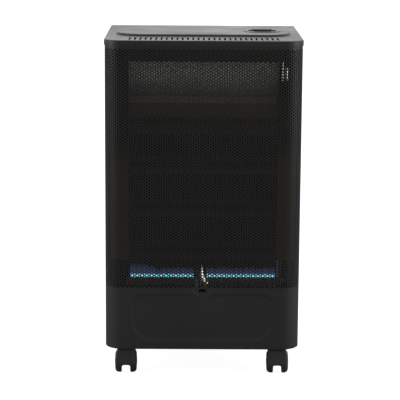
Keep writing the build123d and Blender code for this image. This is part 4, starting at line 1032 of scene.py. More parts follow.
@dataclass
class PerforatedFront(Assembly):
    """Front sheet that wraps round both corners: staggered round holes above, a plain pressed field below."""

    half_width: float = 208.5
    front: float = -198.5
    seam: float = -77.5
    radius: float = 38.0
    seam_bend: float = 1.5
    flange: float = 14.0
    flange_foot: float = 81.5
    foot: float = 65.0
    top: float = 729.0
    thickness: float = 1.0
    pitch: float = 5.15
    rise: float = 3.15
    hole: float = 2.12
    cell: float = 1.612
    hole_sides: int = 12
    rows: int = 168
    side_margin: float = 16.0
    highest_hole: float = 713.0
    hem: float = 4.0
    hem_bend: float = 1.5
    dimple: Point = (0.0, 198.0, 22.5)
    dimple_depth: float = 2.4
    dimple_slope: Pair = (-1.0, 9.0)
    field_box: Box = (-152.0, 152.0, 82.5, 188.0)
    field_radii: Pair = (45.0, 25.0)
    field_depth: float = 2.0
    field_slope: Pair = (-1.5, 7.0)
    flat_foot: float = 70.0
    slot: Box = (-8.0, 8.0, 192.0, 198.0)

    @property
    def strip_top(self) -> float:
        """Height at which the plain strip ends and the lattice of the holes starts."""
        return self.top - self.rows * self.rise

    def line(self) -> BentLine:
        """The sheet in plan, from one seam flange round the front to the other.

        Returns:
            The line.
        """
        w, f, s, tip = self.half_width, self.front, self.seam, self.half_width - self.flange
        corners = ((-tip, s), (-w, s), (-w, f), (w, f), (w, s), (tip, s))
        return BentLine(corners, (self.seam_bend, self.radius, self.radius, self.seam_bend))

    def sink(self, u: Array, z: Array) -> Array:
        """Depth of the pressed field and of the dimple at a place of the sheet.

        The field's depth rises with the distance inside its rounded outline, the dimple's with the distance
        inside its circle, and the deeper of the two counts.

        Args:
            u: Distance from the middle of the sheet, along it.
            z: Height.

        Returns:
            Depth in millimetres.
        """
        inside = within(u, z, self.field_box, self.field_radii)
        field_sink = self.field_depth * blend_step(inside, *self.field_slope)
        centre_u, centre_z, reach = self.dimple
        ring = reach - np.hypot(u - centre_u, z - centre_z)
        return np.maximum(field_sink, self.dimple_depth * blend_step(ring, *self.dimple_slope))

    def place(self, u: Array, z: Array, depth: Array) -> Array:
        """Points of the sheet: each goes in from the outer side along the line's normal.

        Args:
            u: Distances from the middle of the sheet, along it.
            z: Heights.
            depth: Depths below the flat outer side.

        Returns:
            Points, one row each.
        """
        line = self.line()
        plan, normal = line.at(u.ravel() + line.length / 2)
        return np.concatenate([plan - normal * depth.reshape(-1, 1), z.reshape(-1, 1)], 1)

    @property
    def reach(self) -> float:
        """Distance along the sheet from its middle to the seam's bend."""
        return self.line().length / 2 - (self.flange - self.seam_bend) - self.seam_bend * math.pi / 2

    def patch(self, columns: tuple[int, int], rows: tuple[int, int], ends: Pair) -> Shell:
        """A patch of the perforated field.

        Its holes stand on a lattice whose columns are a pitch apart and whose rows are a rise apart, every
        other place empty. Each hole has a cell of six corners, which stand on each side of the empty places.
        A cell is six points on each face, the hole's points on each face, and the hole's wall.

        Args:
            columns: First and last column.
            rows: First and last row; both ends are straight.
            ends: Distances along the sheet at which its two upright edges stand.

        Returns:
            The patch's shell.
        """
        (first, last), (bottom, top) = columns, rows
        base, span = self.strip_top, top - bottom + 1
        m, k, side = np.meshgrid(
            np.arange(first - 1, last + 2), np.arange(bottom, top + 1), np.array([-1, 1]), indexing="ij"
        )
        u = m * self.pitch + side * self.cell
        u = np.where((m > last) | ((m == last) & (side > 0)), ends[1], u)
        u = np.where((m < first) | ((m == first) & (side < 0)), ends[0], u)
        z = base + k * self.rise

        def corner(i: Array, j: Array, plus: int) -> Array:
            """Number of the cell corner beside the lattice place of column i and row j."""
            return ((i - first + 1) * span + (j - bottom)) * 2 + plus

        def ring(i: Array, j: Array) -> list[Array]:
            """The six corners of a whole cell, in turn."""
            return [corner(i + 1, j, 0), corner(i, j + 1, 1), corner(i, j + 1, 0),
                    corner(i - 1, j, 1), corner(i, j - 1, 0), corner(i, j - 1, 1)]

        i, j = np.meshgrid(np.arange(first, last + 1), np.arange(bottom, top + 1), indexing="ij")
        mine = (i + j) % 2 == 0
        full = mine & (j > bottom) & (j < top)
        pierced = full & (np.abs(i * self.pitch) < self.reach - self.side_margin)
        pierced &= base + j * self.rise < self.highest_hole - self.hole
        hi, hj = i[pierced], j[pierced]
        angle = around(self.hole_sides)
        hole_u = hi[:, None] * self.pitch + self.hole * np.cos(angle)
        hole_z = base + hj[:, None] * self.rise + self.hole * np.sin(angle)
        all_u = np.concatenate([u.ravel(), hole_u.ravel()])
        all_z = np.concatenate([z.ravel(), hole_z.ravel()])
        far = len(all_u)
        sink = self.sink(all_u, all_z)
        points = np.concatenate([self.place(all_u, all_z, sink + depth) for depth in (0.0, self.thickness)])

        tris, quads, sides = [], [], []
        cells = ring(hi, hj)
        holes = u.size + np.arange(len(hi))[:, None] * self.hole_sides + np.arange(self.hole_sides)
        for h in range(6):
            here, there = cells[h], cells[(h + 1) % 6]
            o0, o1, o2 = (holes[:, (2 * h + n) % self.hole_sides] for n in range(3))
            tris += [np.stack(three, 1) for three in ((here, there, o1), (there, o2, o1), (here, o1, o0))]
        for n in range(self.hole_sides):
            sides.append(walls(holes[:, (n + 1) % self.hole_sides], holes[:, n], far))
        plain = full & ~pierced
        c = ring(i[plain], j[plain])
        quads += [np.stack([c[0], c[1], c[2], c[3]], 1), np.stack([c[0], c[3], c[4], c[5]], 1)]
        low, high = mine & (j == bottom), mine & (j == top)
        c = ring(i[low], j[low])
        quads.append(np.stack([c[0], c[1], c[2], c[3]], 1))
        c = ring(i[high], j[high])
        quads.append(np.stack([c[3], c[4], c[5], c[0]], 1))
        tris, quads = np.concatenate(tris), np.concatenate(quads)
        loop = self._border(first, last, bottom, top, corner)
        sides.append(walls(loop, np.roll(loop, -1), far))
        faces = (tris, tris[:, ::-1] + far, quads, quads[:, ::-1] + far, np.concatenate(sides))
        return Shell().add(points, *faces)

    @staticmethod
    def _border(first: int, last: int, bottom: int, top: int, corner: Callable[..., Array]) -> Array:
        """Point numbers round a patch: along its foot, up its right edge, back along its top and down.

        Args:
            first: First column.
            last: Last column.
            bottom: First row.
            top: Last row.
            corner: Gives the number of a cell corner.

        Returns:
            The point numbers.
        """
        across = np.arange(first - 1, last + 2)
        loops = []
        for row in (bottom, top):
            m = across[(across + row) % 2 == 1]
            pair = np.stack([corner(m, row, 0), corner(m, row, 1)], 1).ravel()
            pair = pair[1:] if m[0] == first - 1 else pair
            loops.append(pair[:-1] if m[-1] == last + 1 else pair)
        up = np.arange(bottom + 1, top)
        right = np.where((last + up) % 2 == 1, corner(last, up, 1), corner(last + 1, up, 0))
        left = np.where((first + up) % 2 == 1, corner(first, up, 0), corner(first - 1, up, 1))
        return np.concatenate([loops[0], right, loops[1][::-1], left[::-1]])

    def plain_field(self) -> Shell:
        """The plain strip below the holes with its pressed field, dimple, sight slot and rolled foot.

        Its columns are close together over the field's ends and the corners and stand at even angles of the
        slot's round ends, its rows over the field's borders; a bend of the seam counts as 1.57 of its radius.

        Returns:
            The strip's shell.
        """
        base, reach = self.strip_top, self.reach
        low_slot, high_slot, slot_foot, slot_top = self.slot
        flat = self.half_width - self.radius
        arc = flat + self.radius * math.pi / 2
        near, slope, past, bend = 30.0, 140.0, 160.0, 1.57
        side = lines(near, slope, past, flat, arc, reach, reach + self.seam_bend * bend,
                     step=(3.0, 1.5, 2.6, 2.6, 9.0, 0.5))
        radius = (slot_top - slot_foot) / 2
        turn = radius * (1 - np.cos(np.linspace(0, math.pi / 2, 5)))
        middle = lines(low_slot + radius, high_slot - radius, step=2.0)[1:-1]
        u_slot = np.concatenate([low_slot + turn, middle, high_slot - turn[::-1]])
        u = np.concatenate([-side[::-1], lines(-near, low_slot, step=1.4)[1:-1], u_slot,
                            lines(high_slot, near, step=1.4)[1:-1], side])
        start, low_border, high_border = 80.0, 92.0, 178.0
        z = np.unique(np.concatenate([
            lines(self.flat_foot, start, low_border, high_border, slot_foot, slot_top, base,
                  step=(5.0, 1.5, 1.5, 1.5, 1.5, 1.5)),
            lines(high_border, base, step=1.2),
        ]))
        z = z[(z <= slot_foot) | (z >= slot_top)]
        z = np.sort(np.concatenate([z, np.linspace(slot_foot, slot_top, 5)[1:-1]]))
        foot = edge_profile((0.0, base), (0.0, self.foot), (self.hem, self.foot), bend=self.hem_bend,
                            thickness=self.thickness)
        sections = [np.concatenate([face[:0:-1], np.stack([np.full(len(z), depth), z], 1)])
                    for face, depth in zip(foot, (0.0, self.thickness))]
        grids = []
        for section in sections:
            uu, zz = np.meshgrid(u, section[:, 1], indexing="ij")
            depth = section[:, 0] + self.sink(uu, zz) * (zz > self.flat_foot)
            grids.append(self.place(uu, zz + self._slot_round(uu, zz), depth).reshape(*uu.shape, 3))
        mid_u, mid_z = middles(u), middles(sections[0][:, 1])
        in_slot = (np.abs(mid_u)[:, None] < high_slot) & (mid_z > slot_foot) & (mid_z < slot_top)
        return plate(*grids, ~in_slot)

    def _slot_round(self, u: Array, z: Array) -> Array:
        """Shift that draws the sight slot's upper and lower edges into round ends that just stay open.

        Near an end the half height is a circle's, root(radius² - end²); the shift is what is lost of it.

        Args:
            u: Distance from the middle of the sheet, along it.
            z: Height.

        Returns:
            The shift upwards.
        """
        low, high, foot, top = self.slot
        radius, middle = (top - foot) / 2, (foot + top) / 2
        end = np.clip(np.maximum(low + radius - u, u - high + radius), 0, radius)
        drop = radius - np.sqrt(radius * radius - end * end)
        near = (np.abs(z - middle) <= radius + CLOSE) & (u >= low) & (u <= high)
        closed = 0.98
        return np.where(near, -(z - middle) / radius * drop * closed, 0.0)

    def seam_flanges(self) -> Shell:
        """The two flanges at the seam, above the tray's rim.

        Returns:
            Their shell.
        """
        shell, line, run = Shell(), self.line(), self.flange + 1.0
        section = np.array([[0.0, self.flange_foot], [0.0, self.top]])
        for low, high in ((0.0, run), (line.length - run, line.length)):
            shell.join(folded(line, np.linspace(low, high, 12), (section, section + [self.thickness, 0.0])))
        return shell

    def build(self) -> None:
        """Builds the four perforated patches and the plain strip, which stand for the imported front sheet."""
        look, slot, node = self.finishes, "cabinet_black", "front_grille"
        end = int((self.reach - self.cell) / self.pitch)
        quarter = end // 2
        cuts = ((-end, -quarter - 1), (-quarter, -1), (0, quarter), (quarter + 1, end))
        inner = (quarter + 0.5) * self.pitch
        joints = (-self.reach, -inner, -0.5 * self.pitch, inner, self.reach)
        for number, (columns, ends) in enumerate(zip(cuts, zip(joints, joints[1:])), 1):
            patch = self.patch(columns, (0, self.rows), ends)
            self.add(f"front_mesh_{number}", patch, look.mesh_paint, slot, node, merge=False)
        self.add("front_pressed_field", self.plain_field(), look.paint, slot, node)
        self.add("front_seam_flanges", self.seam_flanges(), look.paint, slot, node)


@dataclass
class Lid(Assembly):
    """Pressed lid: rounded edge, raised plateau, a row of vent slots, and its hole for the control dish."""

    half_width: float = 210.0
    front: float = -200.0
    back: float = 160.0
    top: float = 730.0
    foot: float = 718.0
    thickness: float = 1.0
    edge: float = 2.2
    front_radius: float = 39.5
    back_radius: float = 3.0
    rise: float = 4.5
    plateau: Box = (-190.0, 190.0, -110.5, 150.0)
    plateau_radii: Pair = (60.0, 1.0)
    plateau_slope: Pair = (-0.5, 3.0)
    fade: Pair = (84.0, 152.0)
    faded: float = 0.85
    front_border: Point = (-114.0, -104.0, -96.0)
    side_border: Pair = (163.0, 206.0)
    back_border: Pair = (142.0, 152.0)
    vents: int = 29
    vent_pitch: float = 11.1
    vent_width: float = 3.9
    vent_range: Pair = (-184.0, -134.0)
    hole: Pair = (128.5, -22.0)
    hole_radius: float = 38.0
    hole_square: Pair = (30.0, 50.0)

    def height(self, x: Array, y: Array) -> Array:
        """Rise of the plateau: it climbs with the distance inside its outline and fades to 15 % at the rear.

        Args:
            x: Positions across.
            y: Positions to the rear.

        Returns:
            The rise.
        """
        fade = 1 - self.faded * blend_step(y, *self.fade)
        inside = within(x, y, self.plateau, self.plateau_radii)
        return self.rise * fade * blend_step(inside, *self.plateau_slope)

    def top_plate(self) -> Shell:
        """The lid's upper face: a grid with round corners, its cells left out in the slots and in the hole.

        Its lines follow each slot's round ends, are closer together over the plateau's front border, and
        two of them are moved onto the sides of the hole's square.

        Returns:
            The plate's shell.
        """
        inset, r = self.edge, self.vent_width / 2
        box = (-self.half_width + inset, self.half_width - inset, self.front + inset, self.back - inset)
        radii = (self.front_radius - inset, self.back_radius - inset)
        turn = r * np.cos(np.linspace(math.pi, 0, 7))
        centres = (np.arange(self.vents) - (self.vents - 1) / 2) * self.vent_pitch
        slots = (centres[:, None] + np.concatenate([turn, [self.vent_pitch / 2]])[None, :]).ravel()[:-1]
        outside = lines(float(slots[-1]), *self.side_border, box[1], step=1.5)[1:]
        x = np.concatenate([-outside[::-1], slots, outside])
        (cx, cy), (inner, outer), (start, end) = self.hole, self.hole_square, self.vent_range
        low, fine, high = self.front_border
        y = lines(box[2], start, end, low, high, cy - outer, cy - inner, cy + inner, cy + outer,
                  *self.back_border, box[3], step=(3.0, 6.0) + (3.2,) * 9)
        y = np.unique(np.round(np.concatenate([y, lines(low, fine, step=0.6)]), 5))
        gx, gy = np.meshgrid(x, y, indexing="ij")
        gy = gy + self._vent_round(gx, gy, centres)
        for mark in (cx - inner, cx + inner):
            gx[int(np.abs(gx[:, 0] - mark).argmin())] = mark
        plan = round_hole(corner_map(gx, gy, box, radii), self.hole, inner, outer, self.hole_radius)
        upper = np.concatenate([plan, self.top + self.height(plan[..., :1], plan[..., 1:])], -1)
        mx, my = middles(gx[:, :-1]), middles(y)
        in_vent = (np.abs(mx[..., None] - centres).min(-1) < r - 1e-3) & (my > start) & (my < end)
        in_hole = (np.abs(mx - cx) < inner - CLOSE) & (np.abs(my - cy) < inner)
        return plate(upper, upper - [0.0, 0.0, self.thickness], ~(in_vent | in_hole))

    def _vent_round(self, x: Array, y: Array, centres: Array) -> Array:
        """Shift of the slots' end rows that makes the ends half circles and runs straight between slots.

        Args:
            x: Positions across.
            y: Positions to the rear.
            centres: Positions of the slots.

        Returns:
            The shift to the rear.
        """
        r = self.vent_width / 2
        off = np.abs(x[..., None] - centres).min(-1)
        bow = np.where(off < r, r - np.sqrt(np.maximum(r * r - off * off, 0)), 0)
        web = self.vent_pitch / 2 - r
        bow = np.where((off >= r) & (off < r + web), r * (1 - (off - r) / web), bow)
        bow = np.where(off > r + web + 0.01, 0, bow)
        start, end = self.vent_range
        return np.where(np.abs(y - start) < 1e-3, bow, 0) - np.where(np.abs(y - end) < 1e-3, bow, 0)

    def rim(self) -> Shell:
        """The rounded edge and the skirt, carried round the lid.

        Returns:
            Their shell.
        """
        ends = (self.front, self.back)
        line = rounded_rectangle(self.half_width, ends, self.front_radius, self.back_radius)
        section = edge_profile((self.edge, self.top), (0.0, self.top), (0.0, self.foot),
                               bend=self.edge - 0.02, thickness=self.thickness)
        return folded(line, line.stations(40.0, 1.8), section)

    def build(self) -> None:
        """Builds the lid."""
        shell = self.top_plate().join(self.rim())
        self.add("lid_pressing", shell, self.finishes.paint, "cabinet_black", "lid", crease=30.0)


@dataclass
class Controls(Assembly):
    """Moulded dish in the lid with the low round knob in it."""

    centre: Point = (128.5, -22.0, 0.0)
    dish_radius: float = 41.0
    dish_hole: float = 37.8
    dish_inside: float = 31.5
    dish_floor: float = 719.0
    seat: float = 734.52
    flange: float = 1.18
    wall: float = 1.5
    throat: float = 7.0
    knob_radius: float = 26.5
    knob_foot: float = 725.0
    knob_disc: float = 8.0
    flutes: int = 48
    flute: float = 0.35
    grip: Point = (23.5, 6.0, 6.0)
    grip_corner: float = 5.6
    hub: Pair = (6.0, 718.3)

    def dish(self) -> Shell:
        """Dish of revolution with a thin domed flange on the lid.

        Returns:
            The dish's shell.
        """
        seat, top, floor = self.seat, self.seat + self.flange, self.dish_floor + self.wall
        return turned([
            (self.throat, self.dish_floor, 0.3), (self.dish_hole, self.dish_floor, 1.5),
            (self.dish_hole, seat, 0.0), (self.dish_radius, seat, 0.1),
            (self.dish_radius - 0.1, top - 0.1, 0.25), (self.dish_inside, top - 0.02, 0.6),
            (self.dish_inside, floor, 2.0), (self.throat, floor, 0.3),
        ], 128, self.centre)

    def knob(self) -> Shell:
        """Disc with a finely fluted rim, a raised grip bar and a hub.

        A flute's depth is a power of a sine round the rim; it fades out inwards. The grip is a stack of
        loops, each drawn in by an inset at a height.

        Returns:
            The knob's shell.
        """
        foot, r, (hub, hub_foot) = self.knob_foot, self.knob_radius, self.hub
        top = foot + self.knob_disc
        profile = rounded([(0.0, foot, 0.0), (r, foot, 0.8), (r, top - 0.1, 1.4), (0.0, top, 0.0)], 5)
        angle = around(self.flutes * 6)[:, None]
        depth = self.flute * np.abs(np.sin(angle * self.flutes / 2)) ** 1.5
        radius = profile[:, 0] - (self.flute - depth) * blend_step(profile[:, 0], r - 2.5, r - 0.8)
        z = np.broadcast_to(profile[:, 1], radius.shape)
        shell = skin(np.stack([np.cos(angle) * radius, np.sin(angle) * radius, z], -1) + self.centre, True)
        half_length, half_width, height = self.grip
        crown = top + height
        line = rounded_rectangle(half_length, (-half_width, half_width), self.grip_corner, self.grip_corner)
        loop, normal = line.at(line.stations(4.0, 1.0)[:-1])
        levels = ((0.0, top - 1.0), (0.0, top - 0.02), (0.5, top + 1.0), (1.0, crown - 1.6),
                  (1.35, crown - 0.7), (2.0, crown - 0.15), (3.2, crown))
        rings = [np.concatenate([loop - normal * inset, np.full((len(loop), 1), level)], 1)
                 for inset, level in levels]
        x, y = loop.mean(0) + self.centre[:2]
        shell.join(capped(np.stack(rings) + self.centre, (x, y, levels[0][1]), (x, y, crown)))
        end = foot + 0.5
        section = [(0.0, hub_foot, 0.0), (hub, hub_foot, 0.4), (hub, end, 0.0), (0.0, end, 0.0)]
        return shell.join(turned(section, 40, self.centre))

    def build(self) -> None:
        """Builds the dish and the knob, and dresses the spindle and its sleeve."""
        plastic, slot = self.finishes.plastic, "black_plastic"
        self.add("control_dish", self.dish(), plastic, slot, "control_bezel")
        self.add("knob_fluted", self.knob(), plastic, slot, "control_knob", body="knob")
        self.dress(self.finishes.zinc, "valve_spindle")
        self.dress(self.finishes.brass, "plunger_sleeve")


@dataclass
class SidePanels(Assembly):
    """Folded side panels with their moulded handle pockets."""

    half_width: float = 208.5
    seam: float = -77.5
    back: float = 158.5
    foot: float = 65.0
    tray_rim: float = 81.5
    top: float = 729.0
    thickness: float = 1.0
    bend: float = 1.6
    flanges: Pair = (14.0, 20.5)
    hem: float = 4.0
    hem_bend: float = 1.5
    gap: float = 0.02
    handle: Pair = (-10.0, 658.5)
    window: Pair = (52.3, 18.8)
    rim: Point = (58.0, 24.5, 9.0)
    body: Point = (51.9, 18.4, 3.0)
    pocket: Point = (50.5, 17.0, 7.0)
    pocket_depth: float = 22.5
    pocket_draft: float = 3.2
    rim_height: float = 1.2

    def panel(self) -> Shell:
        """Right panel: flanged at the seam and at the rear, hemmed at its foot, cut out behind the handle.

        Returns:
            The panel's shell.
        """
        w, (seam_flange, back_flange) = self.half_width, self.flanges
        corners = ((w - seam_flange, self.seam), (w, self.seam), (w, self.back), (w - back_flange, self.back))
        line = BentLine(corners, (self.bend, self.bend))
        run = seam_flange - self.bend + self.bend * math.pi / 2
        (y0, z0), (half_y, half_z) = self.handle, self.window
        marks = [run + (y0 + side * half_y) - (self.seam + self.bend) for side in (-1, 1)]
        stations = np.unique(np.round(np.concatenate([line.stations(24.0, 0.5), marks]), 6))
        z = lines(self.tray_rim, z0 - half_z, z0 + half_z, self.top, step=60.0)
        section = np.stack([np.zeros(len(z)), z], 1)
        mid_s = middles(stations)
        cut = ((mid_s > marks[0]) & (mid_s < marks[1]))[:, None] & (np.abs(middles(z) - z0) < half_z)
        shell = folded(line, stations, (section, section + [self.thickness, 0.0]), ~cut)
        straight = BentLine(((w, self.seam + self.gap), (w, self.back)), ())
        foot = edge_profile((0.0, self.tray_rim), (0.0, self.foot), (self.hem, self.foot), bend=self.hem_bend,
                            thickness=self.thickness)
        return shell.join(folded(straight, np.array([0.0, self.back - self.seam - self.gap]), foot))

    def cup(self) -> Shell:
        """Right handle pocket: a thin rim on the panel and walls that slope in to a flat floor.

        Each level is a loop drawn in by an inset at a distance out from the panel.

        Returns:
            The pocket's shell.
        """
        share = np.linspace(0, 1, 161)[:-1]
        loops = []
        for half_y, half_z, corner in (self.body, self.rim, self.pocket):
            line = rounded_rectangle(half_y, (-half_z, half_z), corner, corner)
            loops.append(line.at(share * line.length))
        body, rim, inner = loops
        depth, draft, gap = self.pocket_depth, self.pocket_draft, self.gap
        levels = (
            (body, 0.0, -depth - 1.4), (body, 0.0, gap), (rim, 0.0, gap), (rim, 0.15, 0.75),
            (rim, 0.9, self.rim_height), (inner, -1.4, self.rim_height), (inner, -0.4, 0.7),
            (inner, 0.0, -0.6), (inner, draft * 0.5, -depth * 0.5), (inner, draft * 0.86, -depth + 2.6),
            (inner, draft + 0.9, -depth + 0.7), (inner, draft + 2.6, -depth),
        )
        place = np.array([self.half_width, *self.handle])
        rings = np.stack([
            np.concatenate([np.full((len(share), 1), out), loop - normal * inset], 1)
            for (loop, normal), inset, out in levels
        ])
        return capped(rings + place, place + [levels[0][2], 0.0, 0.0], place + [levels[-1][2], 0.0, 0.0])

    def build(self) -> None:
        """Builds both panels and both pockets."""
        paint, slot, right = self.finishes.paint, "cabinet_black", self.panel()
        self.add("side_sheet_right", right, paint, slot, "right_side_panel")
        self.add("side_sheet_left", Shell().join(right, flip=MIRROR), paint, slot, "left_side_panel")
        cups = self.cup().mirrored()
        self.add("handle_pockets", cups, self.finishes.plastic, "black_plastic", "handle_cups", crease=50.0)


@dataclass
class RearCover(Assembly):
    """Lift-off cover: a bulge with vents and a finger slot, a flange and hooks."""

    half_width: float = 184.0
    flange_tip: float = 205.0
    front: float = 158.8
    back: float = 200.0
    foot: float = 66.0
    flange_foot: float = 70.0
    flange_top: float = 714.0
    top: float = 690.0
    thickness: float = 1.0
    corner: float = 30.0
    shoulder: float = 8.0
    vents: tuple[int, float, float, float, float] = (9, 22.0, 6.0, 44.0, 128.0)
    finger: Point = (92.0, 26.0, 662.0)
    hook: Pair = (197.25, 77.5)
    hook_half: Pair = (5.0, 0.5)
    hook_ends: Pair = (0.5, -12.0)

    def bulge(self) -> Shell:
        """Walls of the bulge with rounded upper shoulder, the vents and the finger slot cut out.

        Returns:
            The walls' shell.
        """
        w, f, b = self.half_width, self.front, self.back
        line = BentLine(((w, f), (w, b), (-w, b), (-w, f)), (self.corner, self.corner))
        middle, spring = line.length / 2, self.top - self.shoulder
        count, pitch, width, length, vent_z = self.vents
        slot_width, slot_height, slot_z = self.finger
        centres = (np.arange(count) - (count - 1) / 2) * pitch
        marks = np.concatenate([centres - width / 2, centres + width / 2, [-slot_width / 2, slot_width / 2]])
        stations = np.unique(np.round(np.concatenate([line.stations(30.0, 2.4), marks + middle]), 5))
        z = lines(self.foot, vent_z - length / 2, vent_z + length / 2, slot_z - slot_height / 2,
                  slot_z + slot_height / 2, spring, step=70.0)
        turn = np.linspace(0, math.pi / 2, 7)[1:]
        sections = []
        for depth in (0.0, self.thickness):
            radius = self.shoulder - depth
            inset = np.concatenate([np.full(len(z), depth), self.shoulder - radius * np.cos(turn)])
            sections.append(np.stack([inset, np.concatenate([z, spring + radius * np.sin(turn)])], 1))
        s, h = middles(stations) - middle, middles(sections[0][:, 1])
        near = np.abs(s[:, None] - centres).min(1) < width / 2
        cut = near[:, None] & (np.abs(h - vent_z) < length / 2)
        cut |= (np.abs(s) < slot_width / 2)[:, None] & (np.abs(h - slot_z) < slot_height / 2)
        return folded(line, stations, tuple(sections), ~cut)

    def cap(self) -> Shell:
        """Flat top of the bulge inside its rounded shoulder.

        Returns:
            The top's shell.
        """
        w, back = self.half_width - self.shoulder, self.back - self.shoulder
        radius = self.corner - self.shoulder
        x = lines(-w, -w + radius, w - radius, w, step=4.0)
        y = lines(self.front, self.back - self.corner, back, step=4.0)
        gx, gy = np.meshgrid(x, y, indexing="ij")
        plan = corner_map(gx, gy, (-w, w, self.front, back), (0.01, radius))
        upper = np.concatenate([plan, np.full((*gx.shape, 1), self.top)], -1)
        return plate(upper, upper - [0.0, 0.0, self.thickness])

    def flange(self) -> Shell:
        """Flat flange round the bulge on the cabinet's rear flanges, with the hooks at its foot.

        Returns:
            Their shell.
        """
        w, tip, f, t = self.half_width, self.flange_tip, self.front, self.thickness
        x, z = np.array([-tip, -w, w, tip]), np.array([self.flange_foot, self.top - 0.5, self.flange_top])
        gx, gz = np.meshgrid(x, z, indexing="ij")
        outer = np.stack([gx, np.full_like(gx, f + t), gz], -1)
        shell = plate(outer, outer - [0.0, t, 0.0], np.array([[True, True], [False, True], [True, True]]))
        (hook_x, hook_z), (dx, dz) = self.hook, self.hook_half
        section = np.array([(-dx, 0.0, -dz), (dx, 0.0, -dz), (dx, 0.0, dz), (-dx, 0.0, dz)])
        for side in (-1, 1):
            ends = [np.array([side * hook_x, f + out, hook_z]) for out in self.hook_ends]
            shell.join(capped(np.stack([section + end for end in ends]), *ends))
        return shell

    def build(self) -> None:
        """Builds the cover."""
        shell, name = self.bulge().join(self.cap()).join(self.flange()), "rear_cover"
        self.add("rear_cover_pressing", shell, self.finishes.paint, "cabinet_black", name, body=name)


@dataclass
class Flames(Assembly):
    """Ribbon of small blue flames on the burner, and the pilot flame."""

    burner_y: float = -160.0
    foot: float = 215.6
    pitch: float = 3.0
    ranges: tuple[Pair, ...] = ((-154.0, -17.0), (11.0, 156.0))
    taller: Pair = (90.0, 150.0)
    wander: Pair = (0.08, 0.4)
    depth: float = 1.6
    seed: int = 7
    pilot_y: float = -178.0
    core: Point = (2.9, 8.6, 0.8)
    mantle: Point = (3.6, 22.0, 11.0)

    def tongues(self, width: float, height: float, swell: float, sides: int = 6) -> Shell:
        """Rows of tongues: each is a drop with six levels, drawn in to a point, whose middle leans to a side.

        Args:
            width: Width of a tongue.
            height: Mean height.
            swell: How much taller the flames are at the left end.
            sides: Parts of each tongue's section.

        Returns:
            All tongues as one shell.
        """
        chance = np.random.default_rng(self.seed)
        uneven, lean_most = self.wander
        x = np.concatenate([np.arange(low, high, self.pitch) for low, high in self.ranges])
        tall = height * (1 + uneven * chance.standard_normal(len(x))) + swell * blend_step(-x, *self.taller)
        tall = np.clip(tall, height * 0.6, height * 1.5 + swell)
        lean = lean_most * chance.standard_normal(len(x))
        t = np.array([0.0, 0.1, 0.3, 0.55, 0.8, 1.0])
        radius = width / 2 * np.array([0.0, 0.7, 1.0, 0.8, 0.45, 0.0])[:, None]
        angle = around(sides)
        px = x[:, None, None] + lean[:, None, None] * t[:, None] + radius * np.cos(angle)
        py = self.burner_y + self.depth * radius * np.sin(angle)
        pz = self.foot + tall[:, None, None] * t[:, None]
        grid = np.stack(np.broadcast_arrays(px, py, pz), -1)
        blocks = np.arange(len(x))[:, None, None] * len(t) * sides
        return Shell().add(grid, (loop_faces(len(t), sides) + blocks).reshape(-1, 4))

    def pilot_flame(self) -> Shell:
        """Pilot flames: drops that lean from the jet to the thermocouple and, smaller, to the ribbon.

        The middle line is a curve of the second order, the radius a sine of the climb's root less a taper.

        Returns:
            Both as one shell.
        """
        t = np.linspace(0, 1, 14)
        angle = around(14)
        shell = Shell()
        for width, (x0, x1, x2), (z0, z1) in (
            (2.7, (6.0, -1.5, -1.0), (208.0, 250.0)), (0.9, (7.0, 13.5, 13.0), (203.0, 214.0)),
        ):
            radius = width * np.sin(math.pi * np.sqrt(t)) * (1 - 0.3 * t)
            radius[[0, -1]] = 0
            x = curve(x0, x1, x2, t)[:, None] + radius[:, None] * np.cos(angle)
            y = self.pilot_y + radius[:, None] * np.sin(angle)
            z = np.broadcast_to((z0 + (z1 - z0) * t)[:, None], x.shape)
            shell.join(skin(np.stack([x, y, z], -1)))
        return shell

    def build(self) -> None:
        """Builds the flames."""
        look = self.finishes
        for name, shell, material in (
            ("flame_cores", self.tongues(*self.core), look.flame_core),
            ("flame_mantles", self.tongues(*self.mantle), look.flame_mantle),
            ("pilot_flame", self.pilot_flame(), look.pilot_flame),
        ):
            self.add(name, shell, material, "burner_steel", crease=80.0)


class GasTrain(Assembly):
    """Valve, pipes, leads, burner and their brackets."""

    def routes(self) -> dict[str, tuple[list[Point], float, float, Material, str]]:
        """Route of each pipe and lead.

        Returns:
            Corner points, radius, bend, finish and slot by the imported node.
        """
        look = self.finishes
        return {
            "main_gas_pipe": ([
                (151.5, -22, 668), (174, -22, 668), (174, -160, 668), (174, -160, 625), (185, -160, 279),
                (185, -160, 208), (176, -160, 208)], 4.0, 8.0, look.tube, "bright_tube"),
            "pilot_gas_pipe": ([
                (151.5, -34, 684), (165, -34, 684), (165, -178, 684), (165, -178, 190), (11, -178, 190)],
                2.4, 6.0, look.tube, "bright_tube"),
            "thermocouple_lead": ([
                (151.5, -10, 656), (170, -10, 656), (170, -141, 656), (170, -141, 186), (-30, -141, 186),
                (-30, -178, 186), (-5.2, -178, 186)], 1.25, 6.0, look.copper, "lead_copper"),
            "ignition_lead": ([
                (161.5, 6, 656), (161.5, 6, 648), (161.5, -148, 648), (161.5, -148, 193), (-38, -148, 193),
                (-38, -178, 193), (-15.5, -178, 193)], 1.5, 4.0, look.silicone, "lead_cover"),
        }

    def build(self) -> None:
        """Builds the round pipes and leads, and rounds the edges of valve, burner and brackets."""
        look = self.finishes
        for name, (points, radius, bend, material, slot) in self.routes().items():
            self.add(name + "_round", tube(points, radius, bend), material, slot, name, crease=60.0)
        self.soften("gas_valve", look.brass, "brass", 1.2)
        self.soften("burner_bar", look.burner, "burner_steel", 0.5)
        self.soften("burner_brackets", look.burner, "burner_steel", 0.2)
        self.soften("pilot_bracket", look.burner, "burner_steel", 0.2)


